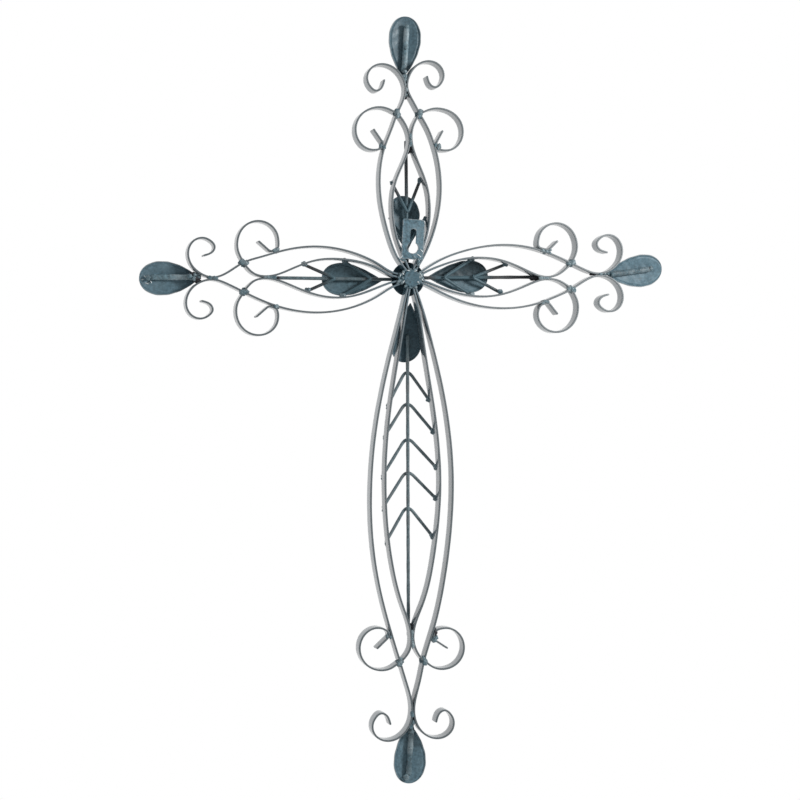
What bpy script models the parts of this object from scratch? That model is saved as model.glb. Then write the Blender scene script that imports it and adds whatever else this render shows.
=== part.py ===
"""Wrought iron wall cross: bowed flat strips on edge, scrolls, leaves, rods and a keyhole hanger.

Sizes are in millimetres and become metres where a mesh is made. The cross stands in the XZ plane,
its front faces -Y and its back, with the hanger plate, faces +Y. The origin is on the hanger plate's
back face, above the keyhole.

Each arm has its own frame: along is the distance from the hub, side is the distance from the arm's
axis, and deep is the distance in front of the strips' back edges.
"""
import math

import bmesh
import bpy
import numpy as np

for old in list(bpy.data.objects):
    bpy.data.objects.remove(old, do_unlink=True)

MM = 0.001

# How far each arm reaches, from the middle of the hub to the far end of its tip leaf
top_reach = 226.0
right_reach = 231.5
left_reach = 232.0
bottom_reach = 434.5

# Stock
strip_thick = 1.6
strip_wide = 13.0
gap = 0.3
stem_radius = 1.5
twig_radius = 1.4
rib_radius = 2.45
sheet_thick = 1.1
plate_thick = 1.5

# Hub and hanger
hub_start = 5.5
hub_disc_radius = 7.3
boss_radius = 14.7
boss_dome = 3.4
hanger = {
    "width": 19.4,
    "low": 16.2,
    "high": 50.6,
    "corner": 1.6,
    "lean": 3.7,
    "aside": -1.3,
    "fixing": 46.7,
    "slot_width": 5.2,
    "slot_high": 42.4,
    "hole_radius": 4.8,
    "hole_at": 26.1,
}

# Leaves
tip_leaf = {"half": 13.9, "dish": 2.6, "gather": 0.85, "round": 0.5}
inner_leaf = {"dish": 2.4, "gather": 1.05, "round": 0.5}

# Curled tip of an outer strip, in shares of the curl's radius
curl_settle = 180.0
curl_last = 160.0
curl_bend = (-0.86, 0.06)
curl_tail = (-0.09, -0.33)

# Large scroll
scroll_settle = 80.0
scroll_short = 24.0
scroll_closes_from = 90.0
scroll_lift = 0.15
scroll_bend = 2.0

# Curves become straight facets within these limits
facet_sag = 0.13
facet_turn = 22.0
facet_length = 40.0
knot_turn = 32.0

# Stations of each strip pair: distance along the arm, half the distance between the pair's middle
# planes, and how far the pair's middle stands aside of the arm's axis. The work is bent by hand, so
# each arm has its own. The bows stretch or close up where an arm's reach changes, and the curls,
# scrolls and leaves keep their own sizes.
touching = strip_thick / 2 + gap / 2
beside = touching + strip_thick + gap
ARMS = {
    "top": {
        "reach": top_reach,
        "along": (0, 1), "side": (1, 0), "names": {1: "right", -1: "left"},
        "outer": {
            "start": (hub_start, beside, 0.2),
            "shoulder": (16, 10.2, 0.7),
            "rise": (36, 19.0, 0.1),
            "bow": (81, 26.9, -0.2),
            "fall": (112, 22.3, -0.3),
            "lower": (130, 15.2, -0.5),
            "weld": (141, 9.9, 0.5),
            "neck": (151, 4.8, 0.9),
            "touch": (163, touching, 2.1),
        },
        "eye": {
            "start": (hub_start, touching, 0.2),
            "shoulder": (16, 5.4, 0.0),
            "rise": (28, 10.6, -0.4),
            "bow": (58, 16.5, -0.6),
            "fall": (81, 13.8, -0.5),
            "lower": (103, 5.0, -1.0),
            "touch": (120, touching, -0.9),
            "spread": (130, 2.9, -0.3),
        },
        "curls": {1: (7.7, 23.0, 11.3), -1: (11.6, 22.0, 11.1)},
        "scrolls": {
            1: {"at": (126.4, 28.1), "radius": 19.0, "catch": 13.2, "lies": 3.0, "tail": (1.0, 3.4)},
            -1: {"at": (126.6, 29.1), "radius": 18.3, "catch": 12.8, "lies": 4.0, "tail": (0.4, 0.5)},
        },
        "tip_leaf": {"past": 12.0, "long": 51.0, "aside": (1.6, -0.4), "rib": (1.6, -1.2), "rib_short": 9.0},
        "inner_leaf": {"start": 24.5, "long": 48.0, "half": 13.2, "aside": (-0.2, 2.0), "tilt": 5.0},
        "stem": (0.3, -0.2),
        "twigs": {"inner": (29.0, 52.0, 53.0), "outer": (57.4, 82.5, 85.5)},
    },
    "right": {
        "reach": right_reach,
        "along": (1, 0), "side": (0, 1), "names": {1: "upper", -1: "lower"},
        "outer": {
            "start": (hub_start, beside, 0.0),
            "shoulder": (17, 6.4, -0.9),
            "rise": (28, 12.9, -1.0),
            "swell": (46, 21.4, -1.0),
            "bow": (81, 27.9, -0.7),
            "fall": (112, 24.0, -0.5),
            "lower": (130, 18.3, 0.1),
            "weld": (145, 12.3, 1.2),
            "neck": (157, 5.7, 0.5),
            "touch": (171, touching, 0.3),
        },
        "eye": {
            "start": (hub_start, touching, 0.0),
            "shoulder": (16, 2.6, -0.3),
            "rise": (28, 7.6, 0.6),
            "swell": (46, 14.0, 0.5),
            "bow": (65, 16.4, 0.4),
            "fall": (81, 15.0, 0.9),
            "lower": (103, 7.5, 1.2),
            "touch": (124, touching, 1.2),
            "spread": (136, 3.0, 1.2),
        },
        "curls": {1: (8.6, 22.8, 11.1), -1: (11.0, 22.4, 11.1)},
        "scrolls": {
            1: {"at": (132.0, 31.1), "radius": 17.4, "catch": 13.1, "lies": 5.6, "tail": (0.0, 0.5)},
            -1: {"at": (132.9, 28.9), "radius": 18.5, "catch": 12.5, "lies": 6.0, "tail": (1.8, 3.1)},
        },
        "tip_leaf": {"past": 10.5, "long": 50.0, "aside": (1.2, 0.9), "rib": (1.7, 1.8), "rib_short": 9.0},
        "inner_leaf": {"start": 21.8, "long": 52.7, "half": 13.7, "aside": (-0.6, 0.8), "tilt": 5.0},
        "stem": (-0.2, 1.6),
        "twigs": {"inner": (32.7, 56.0, 60.0), "outer": (64.3, 91.0, 90.5)},
    },
    "left": {
        "reach": left_reach,
        "along": (-1, 0), "side": (0, 1), "names": {1: "upper", -1: "lower"},
        "outer": {
            "start": (hub_start, beside, 0.8),
            "shoulder": (16, 8.6, 1.8),
            "rise": (28, 14.8, 2.1),
            "swell": (46, 21.7, 1.7),
            "bow": (81, 27.4, 1.7),
            "fall": (112, 23.8, 1.8),
            "lower": (130, 17.6, 1.9),
            "weld": (144, 11.4, 2.0),
            "neck": (156, 5.0, 2.8),
            "touch": (169, touching, 3.4),
        },
        "eye": {
            "start": (hub_start, touching, 0.8),
            "shoulder": (16, 5.4, 1.6),
            "rise": (28, 10.1, 1.6),
            "swell": (46, 15.2, 1.6),
            "bow": (60, 16.7, 1.3),
            "fall": (81, 14.6, 1.0),
            "lower": (103, 6.6, 0.5),
            "touch": (121, touching, 0.4),
            "spread": (131, 2.3, 0.8),
        },
        "curls": {1: (9.7, 23.1, 11.6), -1: (10.4, 21.1, 11.2)},
        "scrolls": {
            1: {"at": (131.0, 30.2), "radius": 17.9, "catch": 12.6, "lies": 8.5, "tail": (0.9, 2.5)},
            -1: {"at": (129.8, 27.4), "radius": 19.3, "catch": 10.9, "lies": 6.5, "tail": (1.2, 3.8)},
        },
        "tip_leaf": {"past": 12.0, "long": 51.0, "aside": (4.5, 9.0), "rib": (3.6, 9.0), "rib_short": 10.0},
        "inner_leaf": {"start": 18.2, "long": 55.4, "half": 13.7, "aside": (2.0, 2.9), "tilt": 5.0},
        "stem": (1.2, 2.0),
        "twigs": {"inner": (31.2, 57.5, 59.0), "outer": (57.2, 88.0, 84.5)},
    },
    "bottom": {
        "reach": bottom_reach,
        "along": (0, -1), "side": (1, 0), "names": {1: "right", -1: "left"},
        "outer": {
            "start": (hub_start, beside, 0.2),
            "shoulder": (20, 7.1, -0.5),
            "rise": (60, 18.1, -0.5),
            "swell": (112, 29.7, 0.4),
            "bow": (180, 36.1, 2.0),
            "fall": (246, 31.3, 3.6),
            "lower": (299, 19.5, 3.7),
            "weld": (328, 10.6, 4.1),
            "neck": (347, 5.5, 3.6),
            "touch": (372, touching, 3.9),
        },
        "eye": {
            "start": (hub_start, touching, 0.2),
            "shoulder": (20, 4.2, -0.3),
            "rise": (60, 11.0, 0.2),
            "swell": (112, 19.4, 0.9),
            "bow": (176, 24.2, 1.2),
            "fall": (240, 18.6, 2.4),
            "lower": (279, 9.0, 3.0),
            "touch": (308, touching, 3.7),
            "spread": (319, 3.3, 3.4),
        },
        "curls": {1: (10.2, 24.0, 11.9), -1: (10.4, 24.1, 11.8)},
        "scrolls": {
            1: {"at": (315.1, 31.0), "radius": 19.0, "catch": 11.4, "lies": 2.5, "tail": (0.6, 3.9)},
            -1: {"at": (317.6, 24.1), "radius": 17.9, "catch": 11.8, "lies": 6.0, "tail": (0.4, 3.3)},
        },
        "tip_leaf": {"past": 12.0, "long": 50.5, "aside": (4.2, 5.4), "rib": (3.1, 6.6), "rib_short": 7.0},
        "inner_leaf": {"start": 20.5, "long": 51.0, "half": 13.2, "aside": (-2.0, 2.9), "tilt": 6.6},
        "stem": (0.3, 3.7),
        "chevrons": [
            (76.7, 109.8, 104.5),
            (104.3, 136.3, 132.3),
            (135.0, 170.3, 163.0),
            (163.8, 197.0, 190.0),
            (194.2, 226.8, 222.7),
        ],
    },
}
bottom_stem_start = 47.5

# Bent rods: how far from its drawn corner a bend starts, and how far an arm runs past the strip's middle
twig_bend = 2.6
twig_lap = 1.1
chevron_bend = 8.5
bend_shares = (0.25, 0.5, 0.75)
chevron_lap = 0.2

# Depths in front of the strips' back edges
front = strip_wide + gap
stem_deep = front + stem_radius
twig_end_deep = front + twig_radius
twig_back_deep = stem_deep - stem_radius - gap - twig_radius
chevron_deep = stem_deep + stem_radius + gap + twig_radius
hub = (-hanger["aside"], -hanger["fixing"])
back_plane = -plate_thick - gap


def material(name, colour, roughness, metallic):
    """A painted finish as plain values."""
    made = bpy.data.materials.new(name)
    made.use_nodes = True
    shader = made.node_tree.nodes["Principled BSDF"]
    shader.inputs["Base Color"].default_value = (*colour, 1)
    shader.inputs["Roughness"].default_value = roughness
    shader.inputs["Metallic"].default_value = metallic
    return made


strip_paint = material("strip_paint", (0.12, 0.16, 0.18), 0.45, 0.2)
sheet_paint = material("sheet_paint", (0.08, 0.14, 0.18), 0.5, 0.2)
rod_paint = material("rod_paint", (0.05, 0.08, 0.09), 0.5, 0.2)


def place(arm, along, side, deep):
    """A point in an arm's frame as a point of the part, in metres."""
    ax, az = arm["along"]
    sx, sz = arm["side"]
    x = hub[0] + ax * along + sx * side
    z = hub[1] + az * along + sz * side
    return x * MM, (back_plane - deep) * MM, z * MM


def unit(vector):
    return vector / np.linalg.norm(vector)


def touch_at(arm):
    """Where the outer strips meet: the arm's reach less its tip leaf and the leaf's distance."""
    return arm["reach"] - arm["tip_leaf"]["past"] - arm["tip_leaf"]["long"]


def reached(arm, along):
    """A drawn distance along the arm, stretched beyond the hub to the arm's own reach."""
    stretch = (touch_at(arm) - hub_start) / (arm["outer"]["touch"][0] - hub_start)
    return hub_start + (along - hub_start) * stretch


def smooth_curve(knots, share=24):
    """A natural cubic spline through the knots, by chord length, as many close points."""
    knots = np.array(knots, float)
    reach = np.r_[0, np.cumsum(np.linalg.norm(np.diff(knots, axis=0), axis=1))]
    span = np.diff(reach)
    count = len(knots)
    left = np.eye(count)
    right = np.zeros_like(knots)
    for i in range(1, count - 1):
        left[i, i - 1:i + 2] = span[i - 1], 2 * (span[i - 1] + span[i]), span[i]
        rise = (knots[i + 1] - knots[i]) / span[i] - (knots[i] - knots[i - 1]) / span[i - 1]
        right[i] = 6 * rise
    bend = np.linalg.solve(left, right)
    points = []
    for i in range(count - 1):
        for x in np.linspace(0, 1, share, endpoint=False):
            a, b = 1 - x, x
            cubic = (a ** 3 - a) * bend[i] + (b ** 3 - b) * bend[i + 1]
            points.append(a * knots[i] + b * knots[i + 1] + cubic * span[i] ** 2 / 6)
    points.append(knots[-1])
    return np.array(points)


def facet_curve(points):
    """Fewer points on a close curve, so that its facets keep to the limits."""
    legs = np.diff(points, axis=0)
    lengths = np.linalg.norm(legs, axis=1)
    ways = legs / lengths[:, None]
    turns = np.arccos(np.clip((ways[1:] * ways[:-1]).sum(1), -1, 1))
    turns = (np.r_[turns, 0] + np.r_[0, turns]) / 2
    # A facet of length l that turns by t leaves the curve by l times t over 8.
    shares = np.sqrt(lengths * turns / (8 * facet_sag))
    shares = np.maximum(shares, turns / math.radians(facet_turn))
    shares = np.maximum(shares, lengths / facet_length)
    total = np.r_[0, np.cumsum(shares)]
    picks = np.linspace(0, total[-1], math.ceil(total[-1]) + 1)
    return np.stack([np.interp(picks, total, column) for column in points.T], axis=1)


def on_curve(points, along):
    """Where a curve first reaches a distance along the arm: the point, its way and its left side."""
    past = int(np.argmax(points[:, 0] >= along))
    past = max(past, 1)
    start, end = points[past - 1], points[past]
    share = (along - start[0]) / (end[0] - start[0])
    way = unit(end - start)
    return start + share * (end - start), way, np.array([-way[1], way[0]])


def turned(angle):
    return np.array([math.cos(math.radians(angle)), math.sin(math.radians(angle))])


def spiral(centre, start, radius, settle, power, last, lands=None):
    """Knots round a centre. The radius eases from the start's distance to its own size, and from
    there to the distance of the landing, given as its angle and distance."""
    first = math.degrees(math.atan2(*(start - centre)[::-1]))
    wide = np.linalg.norm(start - centre)
    steps = math.ceil((last - first) / knot_turn)
    knots = []
    for i in range(1, steps + 1):
        swept = (last - first) * i / steps
        ease = max(0.0, 1 - swept / settle) ** power
        size = radius + (wide - radius) * ease
        if lands:
            close = max(0.0, first + swept - scroll_closes_from) / (lands[0] - scroll_closes_from)
            size += (lands[1] - radius) * close ** 3
        knots.append(centre + turned(first + swept) * size)
    return knots


def stations(arm, pair, hand):
    """One strip's knots on its own side, mirrored so that its side is positive."""
    return [(reached(arm, along), half + hand * aside) for along, half, aside in arm[pair].values()]


def outer_knots(arm, hand):
    """Stations from the hub to the touch, then the curl and its short tail."""
    knots = [np.array(p, float) for p in stations(arm, "outer", hand)]
    ahead, aside, radius = arm["curls"][hand]
    touch = knots[-1]
    drift = hand * arm["outer"]["touch"][2]
    centre = np.array([touch[0] + ahead, drift + aside])
    knots += spiral(centre, touch, radius, curl_settle, 3, curl_last)
    knots.append(centre + radius * np.array(curl_bend))
    knots.append(centre + radius * np.array(curl_tail))
    return knots


def eye_knots(arm, hand, outer):
    """Stations from the hub past the touch, to the inner face of the outer strip."""
    knots = [np.array(p, float) for p in stations(arm, "eye", hand)]
    point, way, left = on_curve(outer, reached(arm, arm["outer"]["weld"][0]))
    knots.append(point - left * (strip_thick / 2 + gap))
    return knots, way


def turn_off(points, end, bend):
    """A line that leaves the end of a curve with a short round bend and runs straight to its end."""
    corner = points[-1]
    left = np.linalg.norm(points - corner, axis=1)
    kept = points[:np.flatnonzero(left > bend)[-1] + 1]
    start, after = kept[-1], corner + unit(end - corner) * bend
    rounded = [(1 - x) ** 2 * start + 2 * x * (1 - x) * corner + x ** 2 * after for x in np.linspace(0, 1, 9)[1:]]
    return np.vstack([kept, rounded, end])


def scroll_curve(arm, hand, outer):
    """From the weld round the centre, along the outer strip, and a straight tail inside."""
    sizes = arm["scrolls"][hand]
    weld = arm["outer"]["weld"][0]
    point, way, left = on_curve(outer, reached(arm, weld))
    start = point + left * (strip_thick / 2 + gap)
    centre = np.array([reached(arm, weld) + sizes["at"][0] - weld, sizes["at"][1]])
    catch, run, out = on_curve(outer, centre[0] - sizes["catch"])
    contact = catch + out * (strip_thick + gap + scroll_lift)
    landing = [contact + run * sizes["lies"] * share + out * scroll_lift * abs(share) for share in (-0.5, 0.0, 0.5)]
    away = landing[0] - centre
    angle = math.degrees(math.atan2(away[1], away[0])) % 360
    lands = (angle, np.linalg.norm(away))
    knots = [start]
    knots += spiral(centre, start, sizes["radius"], scroll_settle, 2, angle - scroll_short, lands)
    knots += landing
    return turn_off(smooth_curve(knots), centre + np.array(sizes["tail"]), scroll_bend), way


def mesh_object(name, verts, faces, paint, smooth=True):
    """A closed mesh as one named object, with its faces pointing out."""
    mesh = bpy.data.meshes.new(name)
    shape = bmesh.new()
    corners = [shape.verts.new(v) for v in verts]
    for face in faces:
        shape.faces.new([corners[i] for i in face])
    bmesh.ops.recalc_face_normals(shape, faces=shape.faces)
    shape.to_mesh(mesh)
    shape.free()
    mesh.materials.append(paint)
    if smooth:
        mesh.shade_smooth()
        mesh.set_sharp_from_angle(angle=math.radians(35))
    made = bpy.data.objects.new(name, mesh)
    bpy.context.scene.collection.objects.link(made)
    return made


def ribbon(name, arm, hand, points, paint, first_face=None, last_face=None):
    """A strip on edge along a curve in the arm's plane; an end may be cut along another's face."""
    legs = np.diff(points, axis=0)
    ways = legs / np.linalg.norm(legs, axis=1)[:, None]
    across = []
    for i in range(len(points)):
        before, after = ways[max(i - 1, 0)], ways[min(i, len(ways) - 1)]
        middle = unit(before + after)
        side = np.array([-middle[1], middle[0]])
        across.append(side * strip_thick / 2 / max(0.5, float(side @ np.array([-after[1], after[0]]))))
    for index, face in ((0, first_face), (-1, last_face)):
        if face is not None:
            square = unit(across[index])
            across[index] = face * strip_thick / 2 / float(face @ square)
    verts = []
    for point, side in zip(points, across):
        for offset, deep in ((side, 0), (side, strip_wide), (-side, strip_wide), (-side, 0)):
            along, beside_axis = point + offset
            verts.append(place(arm, along, hand * beside_axis, deep))
    faces = [(0, 1, 2, 3), tuple(len(verts) - 4 + i for i in range(4))]
    for i in range(len(points) - 1):
        for k in range(4):
            a, b = 4 * i + k, 4 * i + (k + 1) % 4
            faces.append((a, b, b + 4, a + 4))
    return mesh_object(name, verts, faces, paint)


def rod(name, arm, points, radius, sides):
    """A round rod along points given as along, side and deep; its bends keep its section."""
    centres = np.array([place(arm, *p) for p in points])
    legs = np.diff(centres, axis=0)
    ways = legs / np.linalg.norm(legs, axis=1)[:, None]
    up = np.array([0.0, -1.0, 0.0])
    verts = []
    for i, centre in enumerate(centres):
        way = unit(ways[max(i - 1, 0)] + ways[min(i, len(ways) - 1)])
        first = unit(up - way * float(up @ way))
        second = np.cross(way, first)
        for k in range(sides):
            turn = 2 * math.pi * (k + 0.5) / sides
            verts.append(centre + (first * math.cos(turn) + second * math.sin(turn)) * radius * MM)
    faces = [tuple(range(sides)), tuple(len(verts) - sides + k for k in range(sides))]
    for i in range(len(points) - 1):
        for k in range(sides):
            a, b = sides * i + k, sides * i + (k + 1) % sides
            faces.append((a, b, b + sides, a + sides))
    return mesh_object(name, verts, faces, rod_paint)


def leaf_width(share, sizes):
    """Half the width of a teardrop at a share of its length, at most the leaf's own half."""
    rise, fall = sizes["gather"], sizes["round"]
    peak = rise / (rise + fall)
    top = peak ** rise * (1 - peak) ** fall
    return sizes["half"] * share ** rise * max(0.0, 1 - share) ** fall / top


def leaf_fall(share, side, sizes):
    """How far a leaf's sheet falls to the back, beside its middle line and at its round end."""
    peak = sizes["gather"] / (sizes["gather"] + sizes["round"])
    past = max(0.0, (share - peak) / (1 - peak))
    return sizes["dish"] * ((side / sizes["half"]) ** 2 + 0.8 * past ** 2)


def leaf(name, arm, start, end, asides, tip_deep, tilt, sizes):
    """A teardrop of sheet, hollow towards the back, tilted to the front at its round end."""
    tip_aside, end_aside = asides
    rows, columns = 10, 6

    def surface(share, across, layer):
        side = across * leaf_width(share, sizes)
        deep = tip_deep + tilt * share - leaf_fall(share, side, sizes) + layer
        aside = tip_aside + (end_aside - tip_aside) * share
        return place(arm, start + (end - start) * share, aside + side, deep)

    shares = [0.5 - 0.5 * math.cos(math.pi * (i / rows) ** 0.9) for i in range(1, rows)]
    verts = []
    for layer in (0.0, sheet_thick):
        verts.append(surface(0, 0, layer))
        for share in shares:
            for k in range(columns + 1):
                verts.append(surface(share, 2 * k / columns - 1, layer))
        verts.append(surface(1, 0, layer))
    half_count = len(verts) // 2
    width = columns + 1
    last = len(shares) - 1
    faces = []
    for base in (0, half_count):
        row = base + 1
        for k in range(columns):
            faces.append((base, row + k, row + k + 1))
            end_row = row + last * width
            faces.append((base + half_count - 1, end_row + k + 1, end_row + k))
            for i in range(last):
                a = row + i * width + k
                faces.append((a, a + width, a + width + 1, a + 1))
    for edge in (0, columns):
        loop = [0] + [1 + i * width + edge for i in range(last + 1)] + [half_count - 1]
        for a, b in zip(loop, loop[1:]):
            faces.append((a, b, b + half_count, a + half_count))
    return mesh_object(name, verts, faces, sheet_paint)


def make_strips(label, arm):
    """The outer strips, the eye's strips and the large scrolls of one arm."""
    outers, eyes = {}, {}
    for hand, side in arm["names"].items():
        outer = smooth_curve(outer_knots(arm, hand))
        ribbon(f"{label}_outer_strip_{side}", arm, hand, facet_curve(outer), strip_paint)
        knots, face = eye_knots(arm, hand, outer)
        eye = smooth_curve(knots)
        ribbon(f"{label}_inner_strip_{side}", arm, hand, facet_curve(eye), strip_paint, last_face=-face)
        scroll, face = scroll_curve(arm, hand, outer)
        ribbon(f"{label}_scroll_{side}", arm, hand, facet_curve(scroll), strip_paint, first_face=-face)
        outers[hand], eyes[hand] = outer, eye
    return outers, eyes


def crotch(arm, outers, aside, room):
    """Where the curls have parted so far that this much fits on both sides of a place aside."""
    furthest = touch_at(arm)
    for hand, outer in outers.items():
        past = outer[outer[:, 0] > touch_at(arm)]
        parted = past[:, 1] - hand * aside > room + strip_thick / 2
        furthest = max(furthest, past[int(np.argmax(parted)), 0])
    return furthest


def make_tip(label, arm, outers):
    """The tip leaf, and the rib along its back from the crotch of the curls."""
    sizes = arm["tip_leaf"]
    start, end = touch_at(arm) + sizes["past"], arm["reach"]
    leaf(f"{label}_tip_leaf", arm, start, end, sizes["aside"], front, 0.0, tip_leaf)
    near_aside, far_aside = sizes["rib"]
    near = crotch(arm, outers, near_aside, rib_radius + 2 * gap)
    far = end - sizes["rib_short"]
    off = abs(far_aside - sizes["aside"][1])
    deep = front - gap - rib_radius
    far_deep = deep - leaf_fall((far - start) / sizes["long"], rib_radius + off, tip_leaf)
    ends = [(near, near_aside, deep), (far, far_aside, far_deep)]
    rod(f"{label}_tip_rib", arm, ends, rib_radius, 8)


def stem_side(arm, along):
    """The stem's place beside the arm's axis."""
    near, far = arm["stem"]
    return near + (far - near) * along / reached(arm, arm["eye"]["touch"][0])


def make_stem(label, arm, start):
    end = reached(arm, arm["eye"]["touch"][0])
    points = [(start, stem_side(arm, start), stem_deep), (end, stem_side(arm, end), stem_deep)]
    rod(f"{label}_stem", arm, points, stem_radius, 8)


def make_inner_leaf(label, arm, tip_deep):
    sizes = arm["inner_leaf"]
    end = sizes["start"] + sizes["long"]
    shape = {**inner_leaf, "half": sizes["half"]}
    leaf(f"{label}_inner_leaf", arm, sizes["start"], end, sizes["aside"], tip_deep, sizes["tilt"], shape)


def bent_rod(name, arm, eyes, apex, ends, apex_deep, bend, lap):
    """A rod bent at the stem, its arms laid on the front edges of the eye's strips."""
    apex = reached(arm, apex)
    middle = stem_side(arm, apex)
    arms = {}
    for hand, drawn_end in ends.items():
        end = reached(arm, drawn_end)
        point, _, _ = on_curve(eyes[hand], end)
        outer = np.array([end, hand * (point[1] + lap)])
        inner_side = hand * (point[1] - strip_thick / 2 - twig_radius)
        corner = np.array([apex, middle])
        inner = corner + (outer - corner) * (inner_side - middle) / (outer[1] - middle)
        near = bend / np.linalg.norm(inner - corner)
        level = apex_deep + (twig_end_deep - apex_deep) * near
        arms[hand] = [
            (*(corner + (inner - corner) * near), level),
            (*inner, twig_end_deep),
            (*outer, twig_end_deep),
        ]
    near, corner, far = np.array([arms[-1][0], (apex, middle, apex_deep), arms[1][0]])
    rounded = [tuple((1 - x) ** 2 * near + 2 * x * (1 - x) * corner + x ** 2 * far) for x in bend_shares]
    rod(name, arm, arms[-1][::-1] + rounded + arms[1], twig_radius, 7)


def make_twigs(label, arm, eyes):
    for name, (apex, first_end, second_end) in arm["twigs"].items():
        ends = {1: first_end, -1: second_end}
        bent_rod(f"{label}_{name}_twig", arm, eyes, apex, ends, twig_back_deep, twig_bend, twig_lap)


def make_chevrons(label, arm, eyes):
    for i, (apex, first_end, second_end) in enumerate(arm["chevrons"]):
        ends = {1: first_end, -1: second_end}
        bent_rod(f"{label}_chevron_{i + 1}", arm, eyes, apex, ends, chevron_deep, chevron_bend,
                 chevron_lap)


def outline_prism(name, outline, back, thick, paint):
    """A flat outline of X and Z points, with its back face at Y = back."""
    verts = [(x * MM, back * MM, z * MM) for x, z in outline]
    verts += [(x * MM, (back - thick) * MM, z * MM) for x, z in outline]
    count = len(outline)
    faces = [tuple(range(count)), tuple(range(count, 2 * count))]
    faces += [(i, (i + 1) % count, (i + 1) % count + count, i + count) for i in range(count)]
    return mesh_object(name, verts, faces, paint, smooth=False)


def arc(centre, radius, first, last, steps):
    """Points on an arc, in degrees."""
    turns = [first + (last - first) * i / steps for i in range(steps + 1)]
    return [tuple(np.array(centre) + radius * turned(t)) for t in turns]


def circle(centre, radius, steps):
    """Points evenly round a circle."""
    return arc(centre, radius, 0, 360 - 360 / steps, steps - 1)


def make_hanger():
    """The plate and its keyhole, leaning together: a round hole below and a slot that rises from it."""
    half, corner = hanger["width"] / 2, hanger["corner"]
    low, high = hanger["low"] + hub[1], hanger["high"] + hub[1]
    middle = np.array((0.0, (low + high) / 2))

    def leaned(points):
        """Points turned about the plate's middle by its lean."""
        over, up = turned(hanger["lean"]), turned(hanger["lean"] + 90)
        return [tuple(middle + x * over + (z - middle[1]) * up) for x, z in points]

    outline = []
    for x, z, first in ((half, high, 0), (-half, high, 90), (-half, low, 180), (half, low, 270)):
        centre = (x - math.copysign(corner, x), z - math.copysign(corner, z - (low + high) / 2))
        outline += arc(centre, corner, first, first + 90, 3)
    plate = outline_prism("hanger_plate", leaned(outline), 0.0, plate_thick, sheet_paint)
    slot, hole = hanger["slot_width"] / 2, hanger["hole_radius"]
    meet = math.degrees(math.asin(slot / hole))
    keyhole = arc((0, hanger["slot_high"] - slot + hub[1]), slot, 0, 180, 8)
    keyhole += arc((0, hanger["hole_at"] + hub[1]), hole, 90 + meet, 90 + 360 - meet, 18)
    cutter = outline_prism("keyhole_cutter", leaned(keyhole), plate_thick, 3 * plate_thick, sheet_paint)
    cutter.hide_render = True
    cutter.display_type = "WIRE"
    cut = plate.modifiers.new("keyhole", "BOOLEAN")
    cut.operation = "DIFFERENCE"
    cut.solver = "EXACT"
    cut.object = cutter


def make_hub():
    """The disc on the back edges, and the domed boss on the front edges."""
    disc = circle(hub, hub_disc_radius, 24)
    outline_prism("hub_back_disc", disc, 0.0, plate_thick, sheet_paint)
    steps, rings = 24, (0.55, 1.0)
    verts = []
    for layer in (0.0, plate_thick):
        verts.append((hub[0] * MM, (back_plane - front - boss_dome - layer) * MM, hub[1] * MM))
        for ring in rings:
            deep = front + boss_dome * (1 - ring ** 2) + layer
            for x, z in circle(hub, boss_radius * ring, steps):
                verts.append((x * MM, (back_plane - deep) * MM, z * MM))
    half_count = len(verts) // 2
    faces = []
    for base in (0, half_count):
        for k in range(steps):
            n = (k + 1) % steps
            faces.append((base, base + 1 + k, base + 1 + n))
            for ring in range(len(rings) - 1):
                a = base + 1 + ring * steps
                faces.append((a + k, a + steps + k, a + steps + n, a + n))
    rim = 1 + (len(rings) - 1) * steps
    for k in range(steps):
        n = (k + 1) % steps
        faces.append((rim + k, rim + n, rim + n + half_count, rim + k + half_count))
    mesh_object("hub_front_boss", verts, faces, sheet_paint)


def main():
    make_hub()
    make_hanger()
    on_stem = stem_deep + stem_radius + gap
    for label, arm in ARMS.items():
        outers, eyes = make_strips(label, arm)
        make_tip(label, arm, outers)
        if "twigs" in arm:
            make_inner_leaf(label, arm, on_stem)
            make_stem(label, arm, boss_radius + gap)
            make_twigs(label, arm, eyes)
        else:
            make_inner_leaf(label, arm, front + gap / 2)
            make_stem(label, arm, bottom_stem_start)
            make_chevrons(label, arm, eyes)


main()
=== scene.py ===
import math

import bpy
import numpy as np
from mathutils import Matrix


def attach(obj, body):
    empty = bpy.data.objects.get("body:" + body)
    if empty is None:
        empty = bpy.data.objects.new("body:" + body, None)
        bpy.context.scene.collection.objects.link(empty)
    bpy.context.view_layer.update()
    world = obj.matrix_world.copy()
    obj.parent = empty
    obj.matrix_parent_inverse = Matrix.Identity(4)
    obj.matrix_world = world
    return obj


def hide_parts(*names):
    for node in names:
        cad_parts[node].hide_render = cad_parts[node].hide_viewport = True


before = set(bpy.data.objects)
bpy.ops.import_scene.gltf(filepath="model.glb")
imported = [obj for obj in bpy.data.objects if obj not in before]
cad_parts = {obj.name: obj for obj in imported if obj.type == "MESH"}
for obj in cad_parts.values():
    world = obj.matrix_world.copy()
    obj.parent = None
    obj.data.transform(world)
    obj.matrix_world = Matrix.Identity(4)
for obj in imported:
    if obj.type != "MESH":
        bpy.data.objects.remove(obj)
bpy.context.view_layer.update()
print("frame loaded,", len(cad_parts), "nodes")

mm = 0.001
hub = np.array([1.3, -46.7])  # X and Z of the hub; the origin is on the hanger plate above the keyhole
backPlane = -1.8  # Y of the strips' back edges

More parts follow.
